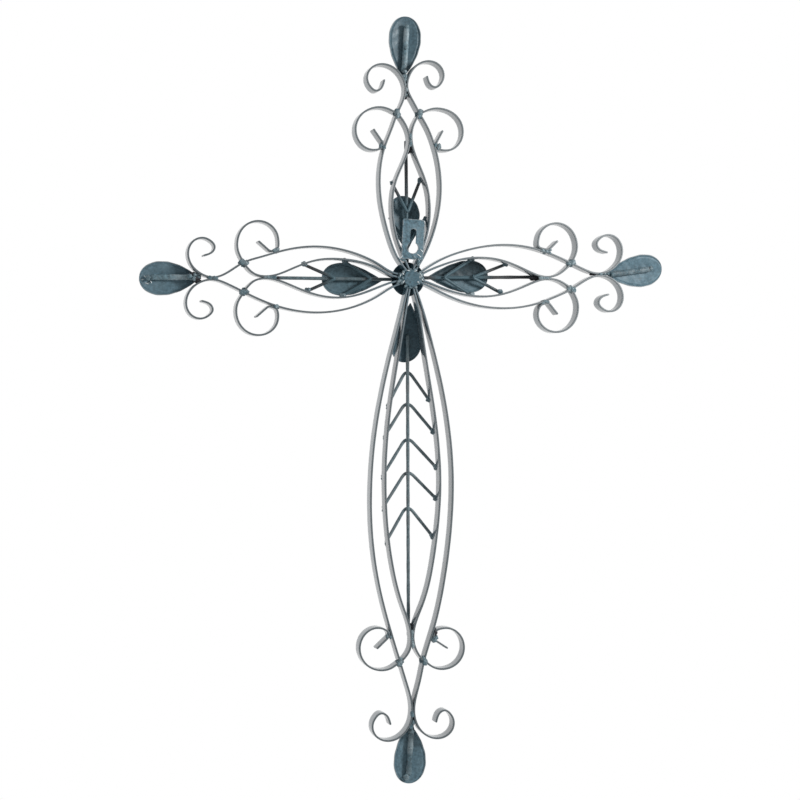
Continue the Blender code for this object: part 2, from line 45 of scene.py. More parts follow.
# Flat bar, rod and sheet that the cross is made of. All sizes are in millimetres.
stock = {
    "barThick": 1.6, "barWide": 13.0, "barCorner": 0.36, "barCrown": 0.06, "seam": 0.3,
    "stem": 1.5, "twig": 1.4, "rib": 2.45, "sheet": 1.1, "step": 1.1,
}
front = stock["barWide"] + stock["seam"]
stemDeep = front + stock["stem"]
touching = stock["barThick"] / 2 + stock["seam"] / 2
beside = touching + stock["barThick"] + stock["seam"]

# Each arm. Bars are knots: how far along it, half the distance between the pair, and the pair's drift aside.
# A curl is its middle, ahead of the last knot and aside, and its radius. A scroll is its middle, its radius, how
# far back and how long its end lies on the bar, and the tail's end from the middle. A tip leaf is its gap past
# touchAt, its length and the places aside of its two ends; a rib those places and how far short it stops; an
# inner leaf its start, length, half width, places aside and tilt; a stem its places aside. A bent rod is its
# apex and how far along its two ends lie.
arms = {
    "top": {
        "along": (0, 1), "side": (1, 0), "names": {1: "right", -1: "left"},
        "outer": [(5.5, beside, 0.2), (16, 10.2, 0.7), (36, 19.0, 0.1), (81, 26.9, -0.2), (112, 22.3, -0.3),
                  (130, 15.2, -0.5), (141, 9.9, 0.5), (151, 4.8, 0.9), (163, touching, 2.1)],
        "weldAt": 141, "touchAt": 163, "eyeTouchAt": 120,
        "eye": [(5.5, touching, 0.2), (16, 5.4, 0.0), (28, 10.6, -0.4), (58, 16.5, -0.6), (81, 13.8, -0.5),
                (103, 5.0, -1.0), (120, touching, -0.9), (130, 2.9, -0.3)],
        "curls": {1: (7.7, 23.0, 11.3), -1: (11.6, 22.0, 11.1)},
        "scrolls": {1: (126.4, 28.1, 19.0, 13.2, 3.0, 1.0, 3.4), -1: (126.6, 29.1, 18.3, 12.8, 4.0, 0.4, 0.5)},
        "tipLeaf": (12.0, 51.0, 1.6, -0.4), "rib": (1.6, -1.2, 9.0), "stem": (0.3, -0.2),
        "innerLeaf": (24.5, 48.0, 13.2, -0.2, 2.0, 5.0),
        "kind": "twig", "bent": {"inner_twig": (29.0, 52.0, 53.0), "outer_twig": (57.4, 82.5, 85.5)},
    },
    "right": {
        "along": (1, 0), "side": (0, 1), "names": {1: "upper", -1: "lower"},
        "outer": [(5.5, beside, 0.0), (17, 6.4, -0.9), (28, 12.9, -1.0), (46, 21.4, -1.0), (81, 27.9, -0.7),
                  (112, 24.0, -0.5), (130, 18.3, 0.1), (145, 12.3, 1.2), (157, 5.7, 0.5), (171, touching, 0.3)],
        "weldAt": 145, "touchAt": 171, "eyeTouchAt": 124,
        "eye": [(5.5, touching, 0.0), (16, 2.6, -0.3), (28, 7.6, 0.6), (46, 14.0, 0.5), (65, 16.4, 0.4),
                (81, 15.0, 0.9), (103, 7.5, 1.2), (124, touching, 1.2), (136, 3.0, 1.2)],
        "curls": {1: (8.6, 22.8, 11.1), -1: (11.0, 22.4, 11.1)},
        "scrolls": {1: (132.0, 31.1, 17.4, 13.1, 5.6, 0.0, 0.5), -1: (132.9, 28.9, 18.5, 12.5, 6.0, 1.8, 3.1)},
        "tipLeaf": (10.5, 50.0, 1.2, 0.9), "rib": (1.7, 1.8, 9.0), "stem": (-0.2, 1.6),
        "innerLeaf": (21.8, 52.7, 13.7, -0.6, 0.8, 5.0),
        "kind": "twig", "bent": {"inner_twig": (32.7, 56.0, 60.0), "outer_twig": (64.3, 91.0, 90.5)},
    },
    "left": {
        "along": (-1, 0), "side": (0, 1), "names": {1: "upper", -1: "lower"},
        "outer": [(5.5, beside, 0.8), (16, 8.6, 1.8), (28, 14.8, 2.1), (46, 21.7, 1.7), (81, 27.4, 1.7),
                  (112, 23.8, 1.8), (130, 17.6, 1.9), (144, 11.4, 2.0), (156, 5.0, 2.8), (169, touching, 3.4)],
        "weldAt": 144, "touchAt": 169, "eyeTouchAt": 121,
        "eye": [(5.5, touching, 0.8), (16, 5.4, 1.6), (28, 10.1, 1.6), (46, 15.2, 1.6), (60, 16.7, 1.3),
                (81, 14.6, 1.0), (103, 6.6, 0.5), (121, touching, 0.4), (131, 2.3, 0.8)],
        "curls": {1: (9.7, 23.1, 11.6), -1: (10.4, 21.1, 11.2)},
        "scrolls": {1: (131.0, 30.2, 17.9, 12.6, 8.5, 0.9, 2.5), -1: (129.8, 27.4, 19.3, 10.9, 6.5, 1.2, 3.8)},
        "tipLeaf": (12.0, 51.0, 4.5, 9.0), "rib": (3.6, 9.0, 10.0), "stem": (1.2, 2.0),
        "innerLeaf": (18.2, 55.4, 13.7, 2.0, 2.9, 5.0),
        "kind": "twig", "bent": {"inner_twig": (31.2, 57.5, 59.0), "outer_twig": (57.2, 88.0, 84.5)},
    },
    "bottom": {
        "along": (0, -1), "side": (1, 0), "names": {1: "right", -1: "left"},
        "outer": [(5.5, beside, 0.2), (20, 7.1, -0.5), (60, 18.1, -0.5), (112, 29.7, 0.4), (180, 36.1, 2.0),
                  (246, 31.3, 3.6), (299, 19.5, 3.7), (328, 10.6, 4.1), (347, 5.5, 3.6), (372, touching, 3.9)],
        "weldAt": 328, "touchAt": 372, "eyeTouchAt": 308,
        "eye": [(5.5, touching, 0.2), (20, 4.2, -0.3), (60, 11.0, 0.2), (112, 19.4, 0.9), (176, 24.2, 1.2),
                (240, 18.6, 2.4), (279, 9.0, 3.0), (308, touching, 3.7), (319, 3.3, 3.4)],
        "curls": {1: (10.2, 24.0, 11.9), -1: (10.4, 24.1, 11.8)},
        "scrolls": {1: (315.1, 31.0, 19.0, 11.4, 2.5, 0.6, 3.9), -1: (317.6, 24.1, 17.9, 11.8, 6.0, 0.4, 3.3)},
        "tipLeaf": (12.0, 50.5, 4.2, 5.4), "rib": (3.1, 6.6, 7.0), "stem": (0.3, 3.7),
        "innerLeaf": (20.5, 51.0, 13.2, -2.0, 2.9, 6.6),
        "kind": "chevron", "bent": {"chevron_1": (76.7, 109.8, 104.5), "chevron_2": (104.3, 136.3, 132.3),
                                    "chevron_3": (135.0, 170.3, 163.0), "chevron_4": (163.8, 197.0, 190.0),
                                    "chevron_5": (194.2, 226.8, 222.7)},
    },
}


# Placing and curves

def inRow(arm, along, side, deep):
    # Arm sizes in millimetres to points in metres: hub plus along and side on their axes, deep to the front.
    ax, az = arm["along"]
    sx, sz = arm["side"]
    along, side, deep = np.broadcast_arrays(along, side, deep)
    x = hub[0] + ax * along + sx * side
    z = hub[1] + az * along + sz * side
    return np.stack([x, backPlane - deep, z], axis=-1) * mm


def lengths(points):
    # How far along a line each of its points is: the running sum of its steps.
    return np.r_[0, np.cumsum(np.linalg.norm(np.diff(points, axis=0), axis=1))]


def evenSteps(points, step):
    # The same line with points at even distances along it.
    reach = lengths(points)
    picks = np.linspace(0, reach[-1], max(4, int(round(reach[-1] / step)) + 1))
    return np.stack([np.interp(picks, reach, column) for column in points.T], axis=1)


def smoothLine(knots, step):
    # Natural cubic spline by chord length: second slopes M solve the usual three-diagonal system, and each
    # stretch is a*P0 + b*P1 + ((a^3 - a)*M0 + (b^3 - b)*M1) * span^2 / 6.
    knots = np.asarray(knots, float)
    reach = lengths(knots)
    span = np.diff(reach)
    system = np.diag(np.r_[1, 2 * (span[1:] + span[:-1]), 1])
    system += np.diag(np.r_[span[:-1], 0], -1) + np.diag(np.r_[0, span[1:]], 1)
    right = np.zeros_like(knots)
    right[1:-1] = 6 * np.diff(np.diff(knots, axis=0) / span[:, None], axis=0)
    bend = np.linalg.solve(system, right)
    close = np.linspace(0, reach[-1], int(reach[-1] * 6) + 8)
    i = np.clip(np.searchsorted(reach, close, side="right") - 1, 0, len(span) - 1)
    b = ((close - reach[i]) / span[i])[:, None]
    a = 1 - b
    curve = ((a ** 3 - a) * bend[i] + (b ** 3 - b) * bend[i + 1]) * span[i, None] ** 2 / 6
    return evenSteps(a * knots[i] + b * knots[i + 1] + curve, step)


def onLine(points, along):
    # Where a line first reaches a distance along the arm: the point, its direction and its left side.
    i = max(1, int(np.argmax(points[:, 0] >= along)))
    share = (along - points[i - 1, 0]) / (points[i, 0] - points[i - 1, 0])
    way = points[i] - points[i - 1]
    way = way / np.linalg.norm(way)
    return points[i - 1] + share * (points[i] - points[i - 1]), way, np.array([-way[1], way[0]])


def spiralKnots(centre, start, radius, settle, power, last, lands=None):
    # Radius = its own size plus what is left of the start's extra distance, fading as (1 - turned/settle)^power,
    # plus the landing's own difference, growing with the cube of the angle past 90 degrees.
    away = start - centre
    first = math.degrees(math.atan2(away[1], away[0]))
    turned = np.linspace(0, last - first, math.ceil((last - first) / 32) + 1)[1:]
    fade = np.clip(1 - turned / settle, 0, 1) ** power
    size = radius + (np.linalg.norm(away) - radius) * fade
    if lands:
        landAt, landFar = lands
        size = size + (landFar - radius) * (np.clip(first + turned - 90, 0, None) / (landAt - 90)) ** 3
    angle = np.radians(first + turned)
    return centre + size[:, None] * np.stack([np.cos(angle), np.sin(angle)], axis=1)


# Mesh making

def closedRings(rings):
    # A tube of closed rings as vertices and faces, with its two ends capped.
    rows, columns = rings.shape[:2]
    index = np.arange(rows * columns).reshape(rows, columns)
    after = np.roll(index, -1, axis=1)
    quads = np.stack([index[:-1], after[:-1], after[1:], index[1:]], axis=-1).reshape(-1, 4)
    return rings.reshape(-1, 3), quads, [index[0][::-1], index[-1]]


def placed(name, data):
    # An object of the scene, at the origin.
    made = bpy.data.objects.new(name, data)
    bpy.context.scene.collection.objects.link(made)
    return made


def solidPiece(name, ringSets, coat, stands=(), edge=None, sharp=40):
    # Joins tubes of rings into one mesh whose faces point outwards, by the sign of each tube's volume.
    verts, faces, start = [], [], 0
    for rings in ringSets:
        points, quads, caps = closedRings(rings)
        a, b, c, d = (points[quads[:, k]] for k in range(4))
        volume = np.einsum("ij,ij->", a, np.cross(b, c)) + np.einsum("ij,ij->", a, np.cross(c, d))
        flip = -1 if volume < 0 else 1
        faces += (quads[:, ::flip] + start).tolist()
        faces += [(cap[::flip] + start).tolist() for cap in caps]
        verts.append(points)
        start += len(points)
    mesh = bpy.data.meshes.new(name)
    mesh.from_pydata(np.concatenate(verts).tolist(), [], faces)
    mesh.validate()
    if edge is not None:
        worn = mesh.attributes.new("edge", "FLOAT", "POINT")
        worn.data.foreach_set("value", np.ravel(edge).astype(np.float32))
    mesh.shade_smooth()
    mesh.set_sharp_from_angle(angle=math.radians(sharp))
    mesh.materials.append(paint[coat])
    piece = placed(name, mesh)
    if stands:
        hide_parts(*stands)
    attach(piece, "root")


def phase(name):
    # A steady number from 0 to 1 for each name, so that no two bars waver alike.
    return sum((k + 3) * ord(letter) for k, letter in enumerate(name)) * 0.6180339 % 1


# Paint

# Finishes that several paints share. Each paint has its colour, the colour of its patches, how strong mottle,
# patches and dark specks are, its roughness, its grain and how far it is raised, and its IOR. On edges it has
# their colour: lighter on the leaves' rims, partly rubbed paint and partly a painted reflection, and darker on the
# bars' narrow faces, so that the wide faces stand lighter as painted sheen. Shade is painted shade: a span of
# height in metres and its strength; hubFade, for painted shade near the hub, and leafBand are distances from the
# hub in metres, and a strength. Worn gives the plate's lean, half sizes and holes.
sheetFinish = {"mottle": 0.4, "patches": 0.5, "dark": 0.6, "rough": 0.42, "grain": 0.45, "bump": 0.35,
               "ior": 1.4, "edge": (0.2, 0.24, 0.26)}
sideColours = {"colour": (0.126, 0.212, 0.255), "patch": (0.18, 0.28, 0.33)}
rodFinish = {"mottle": 0.4, "patches": 0.6, "dark": 0.5, "grain": 0.5, "bump": 0.3}
ribFinish = {"mottle": 0.6, "patches": 0.8, "dark": 0.75, "rough": 0.36, "grain": 0.9, "bump": 0.6, "ior": 1.5}

paints = {
    "barPaint": {"colour": (0.162, 0.205, 0.228), "patch": (0.218, 0.23, 0.242), "mottle": 0.18,
                 "patches": 0.5, "dark": 0.2, "rough": 0.14, "grain": 0.3, "bump": 0.1, "ior": 2.1,
                 "edge": (0.085, 0.115, 0.13), "edgeRough": 0.3,
                 "hubShadeTint": (0.07, 0.14, 0.18), "hubFade": (0.012, 0.062, 0.85)},
    "sheetPaint": {**sheetFinish, "colour": (0.135, 0.232, 0.288), "patch": (0.197, 0.3, 0.352),
                   "mottle": 0.35, "ior": 1.45, "edge": (0.36, 0.4, 0.42), "shade": (0.02, 0.08, 0.25)},
    "platePaint": {"colour": (0.11, 0.212, 0.27), "patch": (0.2, 0.305, 0.36), "mottle": 0.75,
                   "patches": 0.7, "dark": 0.75, "rough": 0.38, "grain": 0.9, "bump": 0.6, "ior": 1.45,
                   "edge": (0.4, 0.44, 0.46),
                   "worn": {"lean": 3.7, "half": (9.7, 17.2), "middle": -13.3, "rim": 1.1,
                            "holes": ((-20.6, 4.8), (-6.9, 2.6)), "holeRim": 0.7, "solid": 0.3}},
    # Copies of the sheet paint for the inner leaves, each as dark as that leaf looks: painted shade. The side
    # leaves' upper parts take painted shade, strong on the left arm; the darkest copy serves the bottom leaf and
    # the hub's boss.
    "innerSheetPaint": {**sheetFinish, "colour": (0.1, 0.17, 0.205), "patch": (0.15, 0.235, 0.28)},
    "sideSheetPaint": {**sheetFinish, **sideColours, "shade": (-0.048, -0.042, 0.12)},
    "deepShadeSheetPaint": {**sheetFinish, **sideColours, "shade": (-0.048, -0.042, 0.6)},
    "shadedSheetPaint": {**sheetFinish, "colour": (0.075, 0.135, 0.17), "patch": (0.12, 0.195, 0.24)},
    "rodPaint": {**rodFinish, "colour": (0.075, 0.1, 0.112), "patch": (0.1, 0.085, 0.08), "rough": 0.4,
                 "ior": 1.4, "leafTint": (0.1, 0.175, 0.21), "leafBand": (0.02, 0.027, 0.066, 0.074, 0.9)},
    # A lighter copy of the rod paint for the rods that look lit: painted light.
    "litRodPaint": {**rodFinish, "colour": (0.165, 0.23, 0.255), "patch": (0.21, 0.225, 0.23),
                       "rough": 0.36, "ior": 1.45},
    # Two copies of one rib paint, darker and lighter by arm: painted shade and painted light.
    "ribPaint": {**ribFinish, "colour": (0.105, 0.178, 0.215), "patch": (0.3, 0.37, 0.4)},
    "litRibPaint": {**ribFinish, "colour": (0.165, 0.27, 0.32), "patch": (0.45, 0.55, 0.59)},
    "weldPaint": {"colour": (0.12, 0.205, 0.245), "patch": (0.34, 0.42, 0.45), "mottle": 0.5, "patches": 0.8,
                  "dark": 0.75, "rough": 0.32, "grain": 1.0, "bump": 0.6, "ior": 1.6},
    "discPaint": {"colour": (0.08, 0.16, 0.205), "patch": (0.15, 0.24, 0.29), "mottle": 0.6, "patches": 0.6,
                  "dark": 0.7, "rough": 0.36, "grain": 0.8, "bump": 0.5, "ior": 1.45},
    # Near white paint for bright weld marks and for painted highlights.
    "markAndHighlightPaint": {"colour": (0.8, 0.86, 0.88), "patch": (0.5, 0.6, 0.64), "mottle": 0.3, "patches": 0.8,
                   "dark": 0.5, "rough": 0.28, "grain": 0.8, "bump": 0.6, "ior": 1.7},
    # Near-black paint for beads that stand for the shade between the bars: painted shade.
    "shadowFillPaint": {"colour": (0.058, 0.056, 0.064), "patch": (0.075, 0.08, 0.088), "mottle": 0.4,
                  "patches": 0.5, "dark": 0.6, "rough": 0.5, "grain": 0.8, "bump": 0.5, "ior": 1.35},
}
# Noise in the paint: scale, detail and roughness, and where it starts and is full.
noises = {"patches": (75, 3, 0.55, 0.42, 0.68), "mottle": (420, 5, 0.65, 0.35, 0.7),
          "specks": (900, 3, 0.7, 0.6, 0.72), "rub": (260, 4, 0.6, 0.3, 0.6), "wear": (330, 4, 0.65, 0.42, 0.6),
          "gloss": (300, 4, 0.55, 0.3, 0.7), "grain": (1500, 3, 0.6), "brush": (190, 3, 0.5)}
coating = {"lighten": 0.75, "speckTone": 0.35, "rubbed": (0.8, 1.0), "glossRange": (0.8, 1.3), "depth": 0.5}


def addNode(tree, kind, inputs, **settings):
    # A node with its settings and inputs, each a number, a tuple or another node's output. Gives its outputs.
    made = tree.nodes.new("ShaderNode" + kind)
    for key, value in settings.items():
        setattr(made, key, value)
    for key, value in inputs.items():
        if isinstance(value, bpy.types.NodeSocket):
            tree.links.new(value, made.inputs[key])
        else:
            made.inputs[key].default_value = value
    return made.outputs


def spread(tree, value, low, high, to=(0.0, 1.0)):
    # The value carried evenly from the span low to high to another span.
    sizes = {"Value": value, "From Min": low, "From Max": high, "To Min": to[0], "To Max": to[1]}
    return addNode(tree, "MapRange", sizes)["Result"]


def paintedIron(name):
    # Brushed and sprayed paint on iron: broad patches, a fine mottle, dark specks and a sprayed grain.
    look = paints[name]
    made = bpy.data.materials.new(name)
    made.use_nodes = True
    tree = made.node_tree
    shader = tree.nodes["Principled BSDF"]
    place = addNode(tree, "TexCoord", {})["Object"]

    def noise(kind, to=(0.0, 1.0)):
        scale, detail, rough, *limits = noises[kind]
        sizes = {"Vector": place, "Scale": scale, "Detail": detail, "Roughness": rough}
        grain = addNode(tree, "TexNoise", sizes)["Fac"]
        return spread(tree, grain, *limits, to) if limits else grain

    def mix(share, first, second):
        first, second = ((*value, 1) if isinstance(value, tuple) else value for value in (first, second))
        return addNode(tree, "Mix", {0: share, 6: first, 7: second}, data_type="RGBA")[2]

    def sums(operation, *values):
        return addNode(tree, "Math", dict(enumerate(values)), operation=operation)[0]

    def distance(start, x, y, z):
        # From a place on the surface to a point in millimetres.
        point = (x * mm, y * mm, z * mm)
        return addNode(tree, "VectorMath", {0: start, 1: point}, operation="DISTANCE")["Value"]

    def apart(value, centre):
        # How far a value is from a centre, on either side.
        return sums("ABSOLUTE", sums("SUBTRACT", value, centre))

    darker = tuple(v * (1 - look["mottle"]) for v in look["colour"])
    lighter = tuple(v * (1 + coating["lighten"] * look["mottle"]) for v in look["colour"])
    speck = tuple(v * coating["speckTone"] for v in look["colour"])
    colour = mix(noise("mottle"), darker, lighter)
    colour = mix(noise("patches", (0, look["patches"])), colour, look["patch"])
    colour = mix(noise("specks", (0, look["dark"])), colour, speck)
    if "shade" in look:
        # Painted shade above a height: the upper part is darker.
        low, high, share = look["shade"]
        level = addNode(tree, "SeparateXYZ", {0: place})["Z"]
        colour = mix(spread(tree, level, low, high, (0.0, share)), colour, (0, 0, 0))
    gloss = noise("gloss", [look["rough"] * share for share in coating["glossRange"]])
    if "edge" in look:
        # The edge attribute, broken by noise, gives the edge colour: a lighter rim on the leaves, partly rubbed
        # paint and partly a painted reflection, and darker narrow faces on the bars, so that their wide faces
        # stand lighter as painted sheen.
        edge = addNode(tree, "Attribute", {}, attribute_name="edge")["Fac"]
        colour = mix(sums("MULTIPLY", edge, noise("rub", coating["rubbed"])), colour, look["edge"])
        if "edgeRough" in look:
            gloss = sums("MULTIPLY_ADD", edge, look["edgeRough"], gloss)
    if "worn" in look:
        # Worn rims of the leaning plate: how near a place lies to the plate's border or to the keyhole's two
        # circles, broken by noise.
        worn = look["worn"]
        rim, holeRim = worn["rim"] * mm, worn["holeRim"] * mm
        sizes = {"Vector": place, "Center": (0, 0, worn["middle"] * mm), "Angle": math.radians(worn["lean"])}
        upright = addNode(tree, "VectorRotate", sizes, rotation_type="Y_AXIS")[0]
        sides = addNode(tree, "SeparateXYZ", {0: upright})
        rims = [spread(tree, apart(sides[axis], centre * mm), half * mm - rim, half * mm - worn["solid"] * rim)
                for axis, centre, half in (("X", 0.0, worn["half"][0]), ("Z", worn["middle"], worn["half"][1]))]
        rims += [spread(tree, apart(distance(upright, 0, 0, z), radius * mm), holeRim, worn["solid"] * holeRim)
                 for z, radius in worn["holes"]]
        whole = rims[0]
        for another in rims[1:]:
            whole = sums("MAXIMUM", whole, another)
        colour = mix(sums("MULTIPLY", whole, noise("wear")), colour, look["edge"])
    if "leafTint" in look:
        # Where rods lie over the inner leaves they carry the leaves' paint: a band of distance from the hub.
        near, full, fade, far, most = look["leafBand"]
        reach = distance(place, hub[0], backPlane - front, hub[1])
        band = sums("MULTIPLY", spread(tree, reach, near, full), spread(tree, reach, fade, far, (most, 0.0)))
        colour = mix(band, colour, look["leafTint"])
    if "hubShadeTint" in look:
        # Near the hub the bars turn darker and bluer, fading with the distance from its middle: painted shade near
        # the hub.
        near, far, most = look["hubFade"]
        reach = distance(place, hub[0], backPlane, hub[1])
        colour = mix(spread(tree, reach, near, far, (most, 0.0)), colour, look["hubShadeTint"])
    height = sums("MULTIPLY_ADD", noise("grain"), look["grain"], noise("brush"))
    sizes = {"Strength": look["bump"], "Distance": coating["depth"] * mm, "Height": height}
    normal = addNode(tree, "Bump", sizes)["Normal"]
    for socket, value in (("Base Color", colour), ("Roughness", gloss), ("Normal", normal)):
        tree.links.new(value, shader.inputs[socket])
    shader.inputs["IOR"].default_value = look["ior"]
    return made


paint = {name: paintedIron(name) for name in paints}
print("paints mixed")


# Flat bars on edge

bars = {"waver": 0.1, "thin": 0.03, "mitreRun": 3.0, "curlSettle": 180.0, "curlLast": 160.0,
        "curlBend": (-0.86, 0.06), "curlTail": (-0.09, -0.33), "scrollSettle": 80.0, "scrollShort": 24.0,
        "tailBend": 2.0, "catchRoom": 0.15, "cornerPoints": 4, "facePoints": 4, "thinWaves": (5.3, 13.7),
        "waverWaves": (11.0, 4.1), "endNarrow": 0.22, "endShort": 0.1, "endShift": 0.6, "fineStep": 0.2,
        "scrollShare": 0.8}


def barSection():
    # A rectangle with round corners, once round: across is -1 to 1, deep is in millimetres, and edge is 1 on
    # the narrow faces and the corners. The wide faces swell by the crown.
    half, wide, corner = stock["barThick"] / 2, stock["barWide"], stock["barCorner"]
    turn = np.radians(np.linspace(0, 90, bars["cornerPoints"]))
    middles = [(half - corner, wide - corner, 0), (-half + corner, wide - corner, 90),
               (-half + corner, corner, 180), (half - corner, corner, 270)]
    arcs = [np.stack([x + corner * np.cos(turn + math.radians(a)), y + corner * np.sin(turn + math.radians(a))],
                     axis=1) for x, y, a in middles]
    share = np.linspace(0, 1, bars["facePoints"] + 2)[1:-1, None]
    loop = []
    for k in range(4):
        between = arcs[k][-1] + (arcs[(k + 1) % 4][0] - arcs[k][-1]) * share
        if k % 2:
            between[:, 0] += np.sign(between[:, 0]) * stock["barCrown"] * np.sin(math.pi * share[:, 0])
        loop += [arcs[k], between]
    loop = np.concatenate(loop)
    edge = ((loop[:, 1] < 0.6 * corner) | (loop[:, 1] > wide - 0.6 * corner)).astype(float)
    return loop[:, 0] / half, loop[:, 1], edge


def barRings(arm, hand, line, name, startFace=None, endFace=None):
    # The section carried along the line: point = line + square to it * across * half thickness, at its own depth.
    # Near a butted end the square direction turns into the other bar's face. The bar wavers and thins by products
    # of sines of the way along, and its last ring at each end is a little smaller.
    ways = np.gradient(line, axis=0)
    ways /= np.linalg.norm(ways, axis=1)[:, None]
    square = np.stack([-ways[:, 1], ways[:, 0]], axis=1)
    reach = lengths(line)
    skew = square.copy()
    for face, left in ((startFace, reach), (endFace, reach[-1] - reach)):
        if face is not None:
            near = np.clip(1 - left / bars["mitreRun"], 0, 1)[:, None] ** 2
            skew = skew * (1 - near) + near * face / (square @ face)[:, None]
    start = phase(name) * 6.28
    (quick, slow), (long, short) = bars["thinWaves"], bars["waverWaves"]
    thick = 1 + bars["thin"] * np.sin(reach / quick + start) * np.sin(reach / slow + 2 * start)
    drift = bars["waver"] * (np.sin(reach / long + start) + 0.5 * np.sin(reach / short + 3 * start))
    across, deep, edge = barSection()
    ends = np.zeros(len(line))
    ends[[0, -1]] = bars["endNarrow"]
    across = across[None, :] * (thick - ends)[:, None]
    shift = ends[:, None] * bars["endShift"] + drift[:, None]
    deep = deep[None, :] * (1 - ends[:, None] * bars["endShort"]) + shift
    plan = line[:, None, :] + skew[:, None, :] * across[:, :, None] * stock["barThick"] / 2
    return inRow(arm, plan[..., 0], hand * plan[..., 1], deep), np.broadcast_to(edge, across.shape)


def forgeBar(name, arm, hand, line, startFace=None, endFace=None):
    # A flat bar along its line, in the place of the solid of the same name.
    rings, edge = barRings(arm, hand, line, name, startFace, endFace)
    solidPiece(name + "_bar", [rings], "barPaint", [name], edge)


def roundCorner(before, corner, after):
    # A quadratic curve between two points that turns at the corner.
    share = np.linspace(0, 1, 9)[:, None]
    return (1 - share) ** 2 * before + 2 * share * (1 - share) * corner + share ** 2 * after


def turnOff(line, end, bend):
    # Leaves the end of a line with a short round bend and runs straight to its own end.
    corner = line[-1]
    kept = line[:np.flatnonzero(np.linalg.norm(line - corner, axis=1) > bend)[-1] + 1]
    after = corner + (end - corner) / np.linalg.norm(end - corner) * bend
    return np.vstack([kept, roundCorner(kept[-1], corner, after)[1:], end])


def barKnots(arm, hand, which):
    # A bar's knots on one hand: along, and half the pair's distance plus the drift.
    return [np.array([along, half + hand * aside]) for along, half, aside in arm[which]]


def armLines(arm):
    # The outer bar, the eye's bar and the scroll of each side, with the face that the last two butt against.
    lines = {}
    room = stock["barThick"] / 2 + stock["seam"] / 2
    for hand in arm["names"]:
        knots = barKnots(arm, hand, "outer")
        ahead, aside, radius = arm["curls"][hand]
        centre = np.array([knots[-1][0] + ahead, hand * arm["outer"][-1][2] + aside])
        knots += list(spiralKnots(centre, knots[-1], radius, bars["curlSettle"], 3, bars["curlLast"]))
        knots += [centre + radius * np.array(bars["curlBend"]), centre + radius * np.array(bars["curlTail"])]
        outer = smoothLine(knots, stock["step"])
        weld, way, left = onLine(outer, arm["weldAt"])
        eye = smoothLine([*barKnots(arm, hand, "eye"), weld - left * room], stock["step"])
        along, side, radius, back, lies, tailAhead, tailAside = arm["scrolls"][hand]
        centre = np.array([along, side])
        catch, run, out = onLine(outer, along - back)
        contact = catch + out * (stock["barThick"] + stock["seam"] + bars["catchRoom"])
        start = weld + left * room
        landing = [contact + run * lies * share + out * bars["catchRoom"] * abs(share) for share in (-0.5, 0, 0.5)]
        away = landing[0] - centre
        angle = math.degrees(math.atan2(away[1], away[0])) % 360
        lands = (angle, np.linalg.norm(away))
        turns = spiralKnots(centre, start, radius, bars["scrollSettle"], 2, angle - bars["scrollShort"], lands)
        scroll = smoothLine([start, *turns, *landing], bars["fineStep"])
        scroll = turnOff(scroll, centre + (tailAhead, tailAside), bars["tailBend"])
        scroll = evenSteps(scroll, stock["step"] * bars["scrollShare"])
        lines[hand] = {"outer": outer, "eye": eye, "scroll": scroll, "face": way, "weld": weld, "left": left}
    return lines


for label, arm in arms.items():
    arm["lines"] = armLines(arm)
    for hand, side in arm["names"].items():
        line = arm["lines"][hand]
        forgeBar(f"{label}_outer_strip_{side}", arm, hand, line["outer"])
        forgeBar(f"{label}_inner_strip_{side}", arm, hand, line["eye"], endFace=-line["face"])
        forgeBar(f"{label}_scroll_{side}", arm, hand, line["scroll"], startFace=-line["face"])
print("bars forged")


# Dished leaves

leaves = {"tip": {"half": 13.9, "dish": 2.6, "gather": 0.85, "round": 0.5},
          "inner": {"dish": 2.4, "gather": 1.05, "round": 0.5},
          "pastDish": 0.8, "rows": 76, "columns": 44, "ends": (0.012, 0.994), "rimProud": 0.4, "rimEdge": 0.3,
          "dent": 0.1, "rimWaver": 0.12, "lip": 0.75, "lipAt": 1.5, "lipWide": 0.6}


def leafFall(sizes, share, side):
    # How far the sheet falls to the back: with the square of the distance from its middle line and past its
    # widest place.
    peak = sizes["gather"] / (sizes["gather"] + sizes["round"])
    past = np.clip((share - peak) / (1 - peak), 0, None)
    return sizes["dish"] * ((side / sizes["half"]) ** 2 + leaves["pastDish"] * past ** 2)


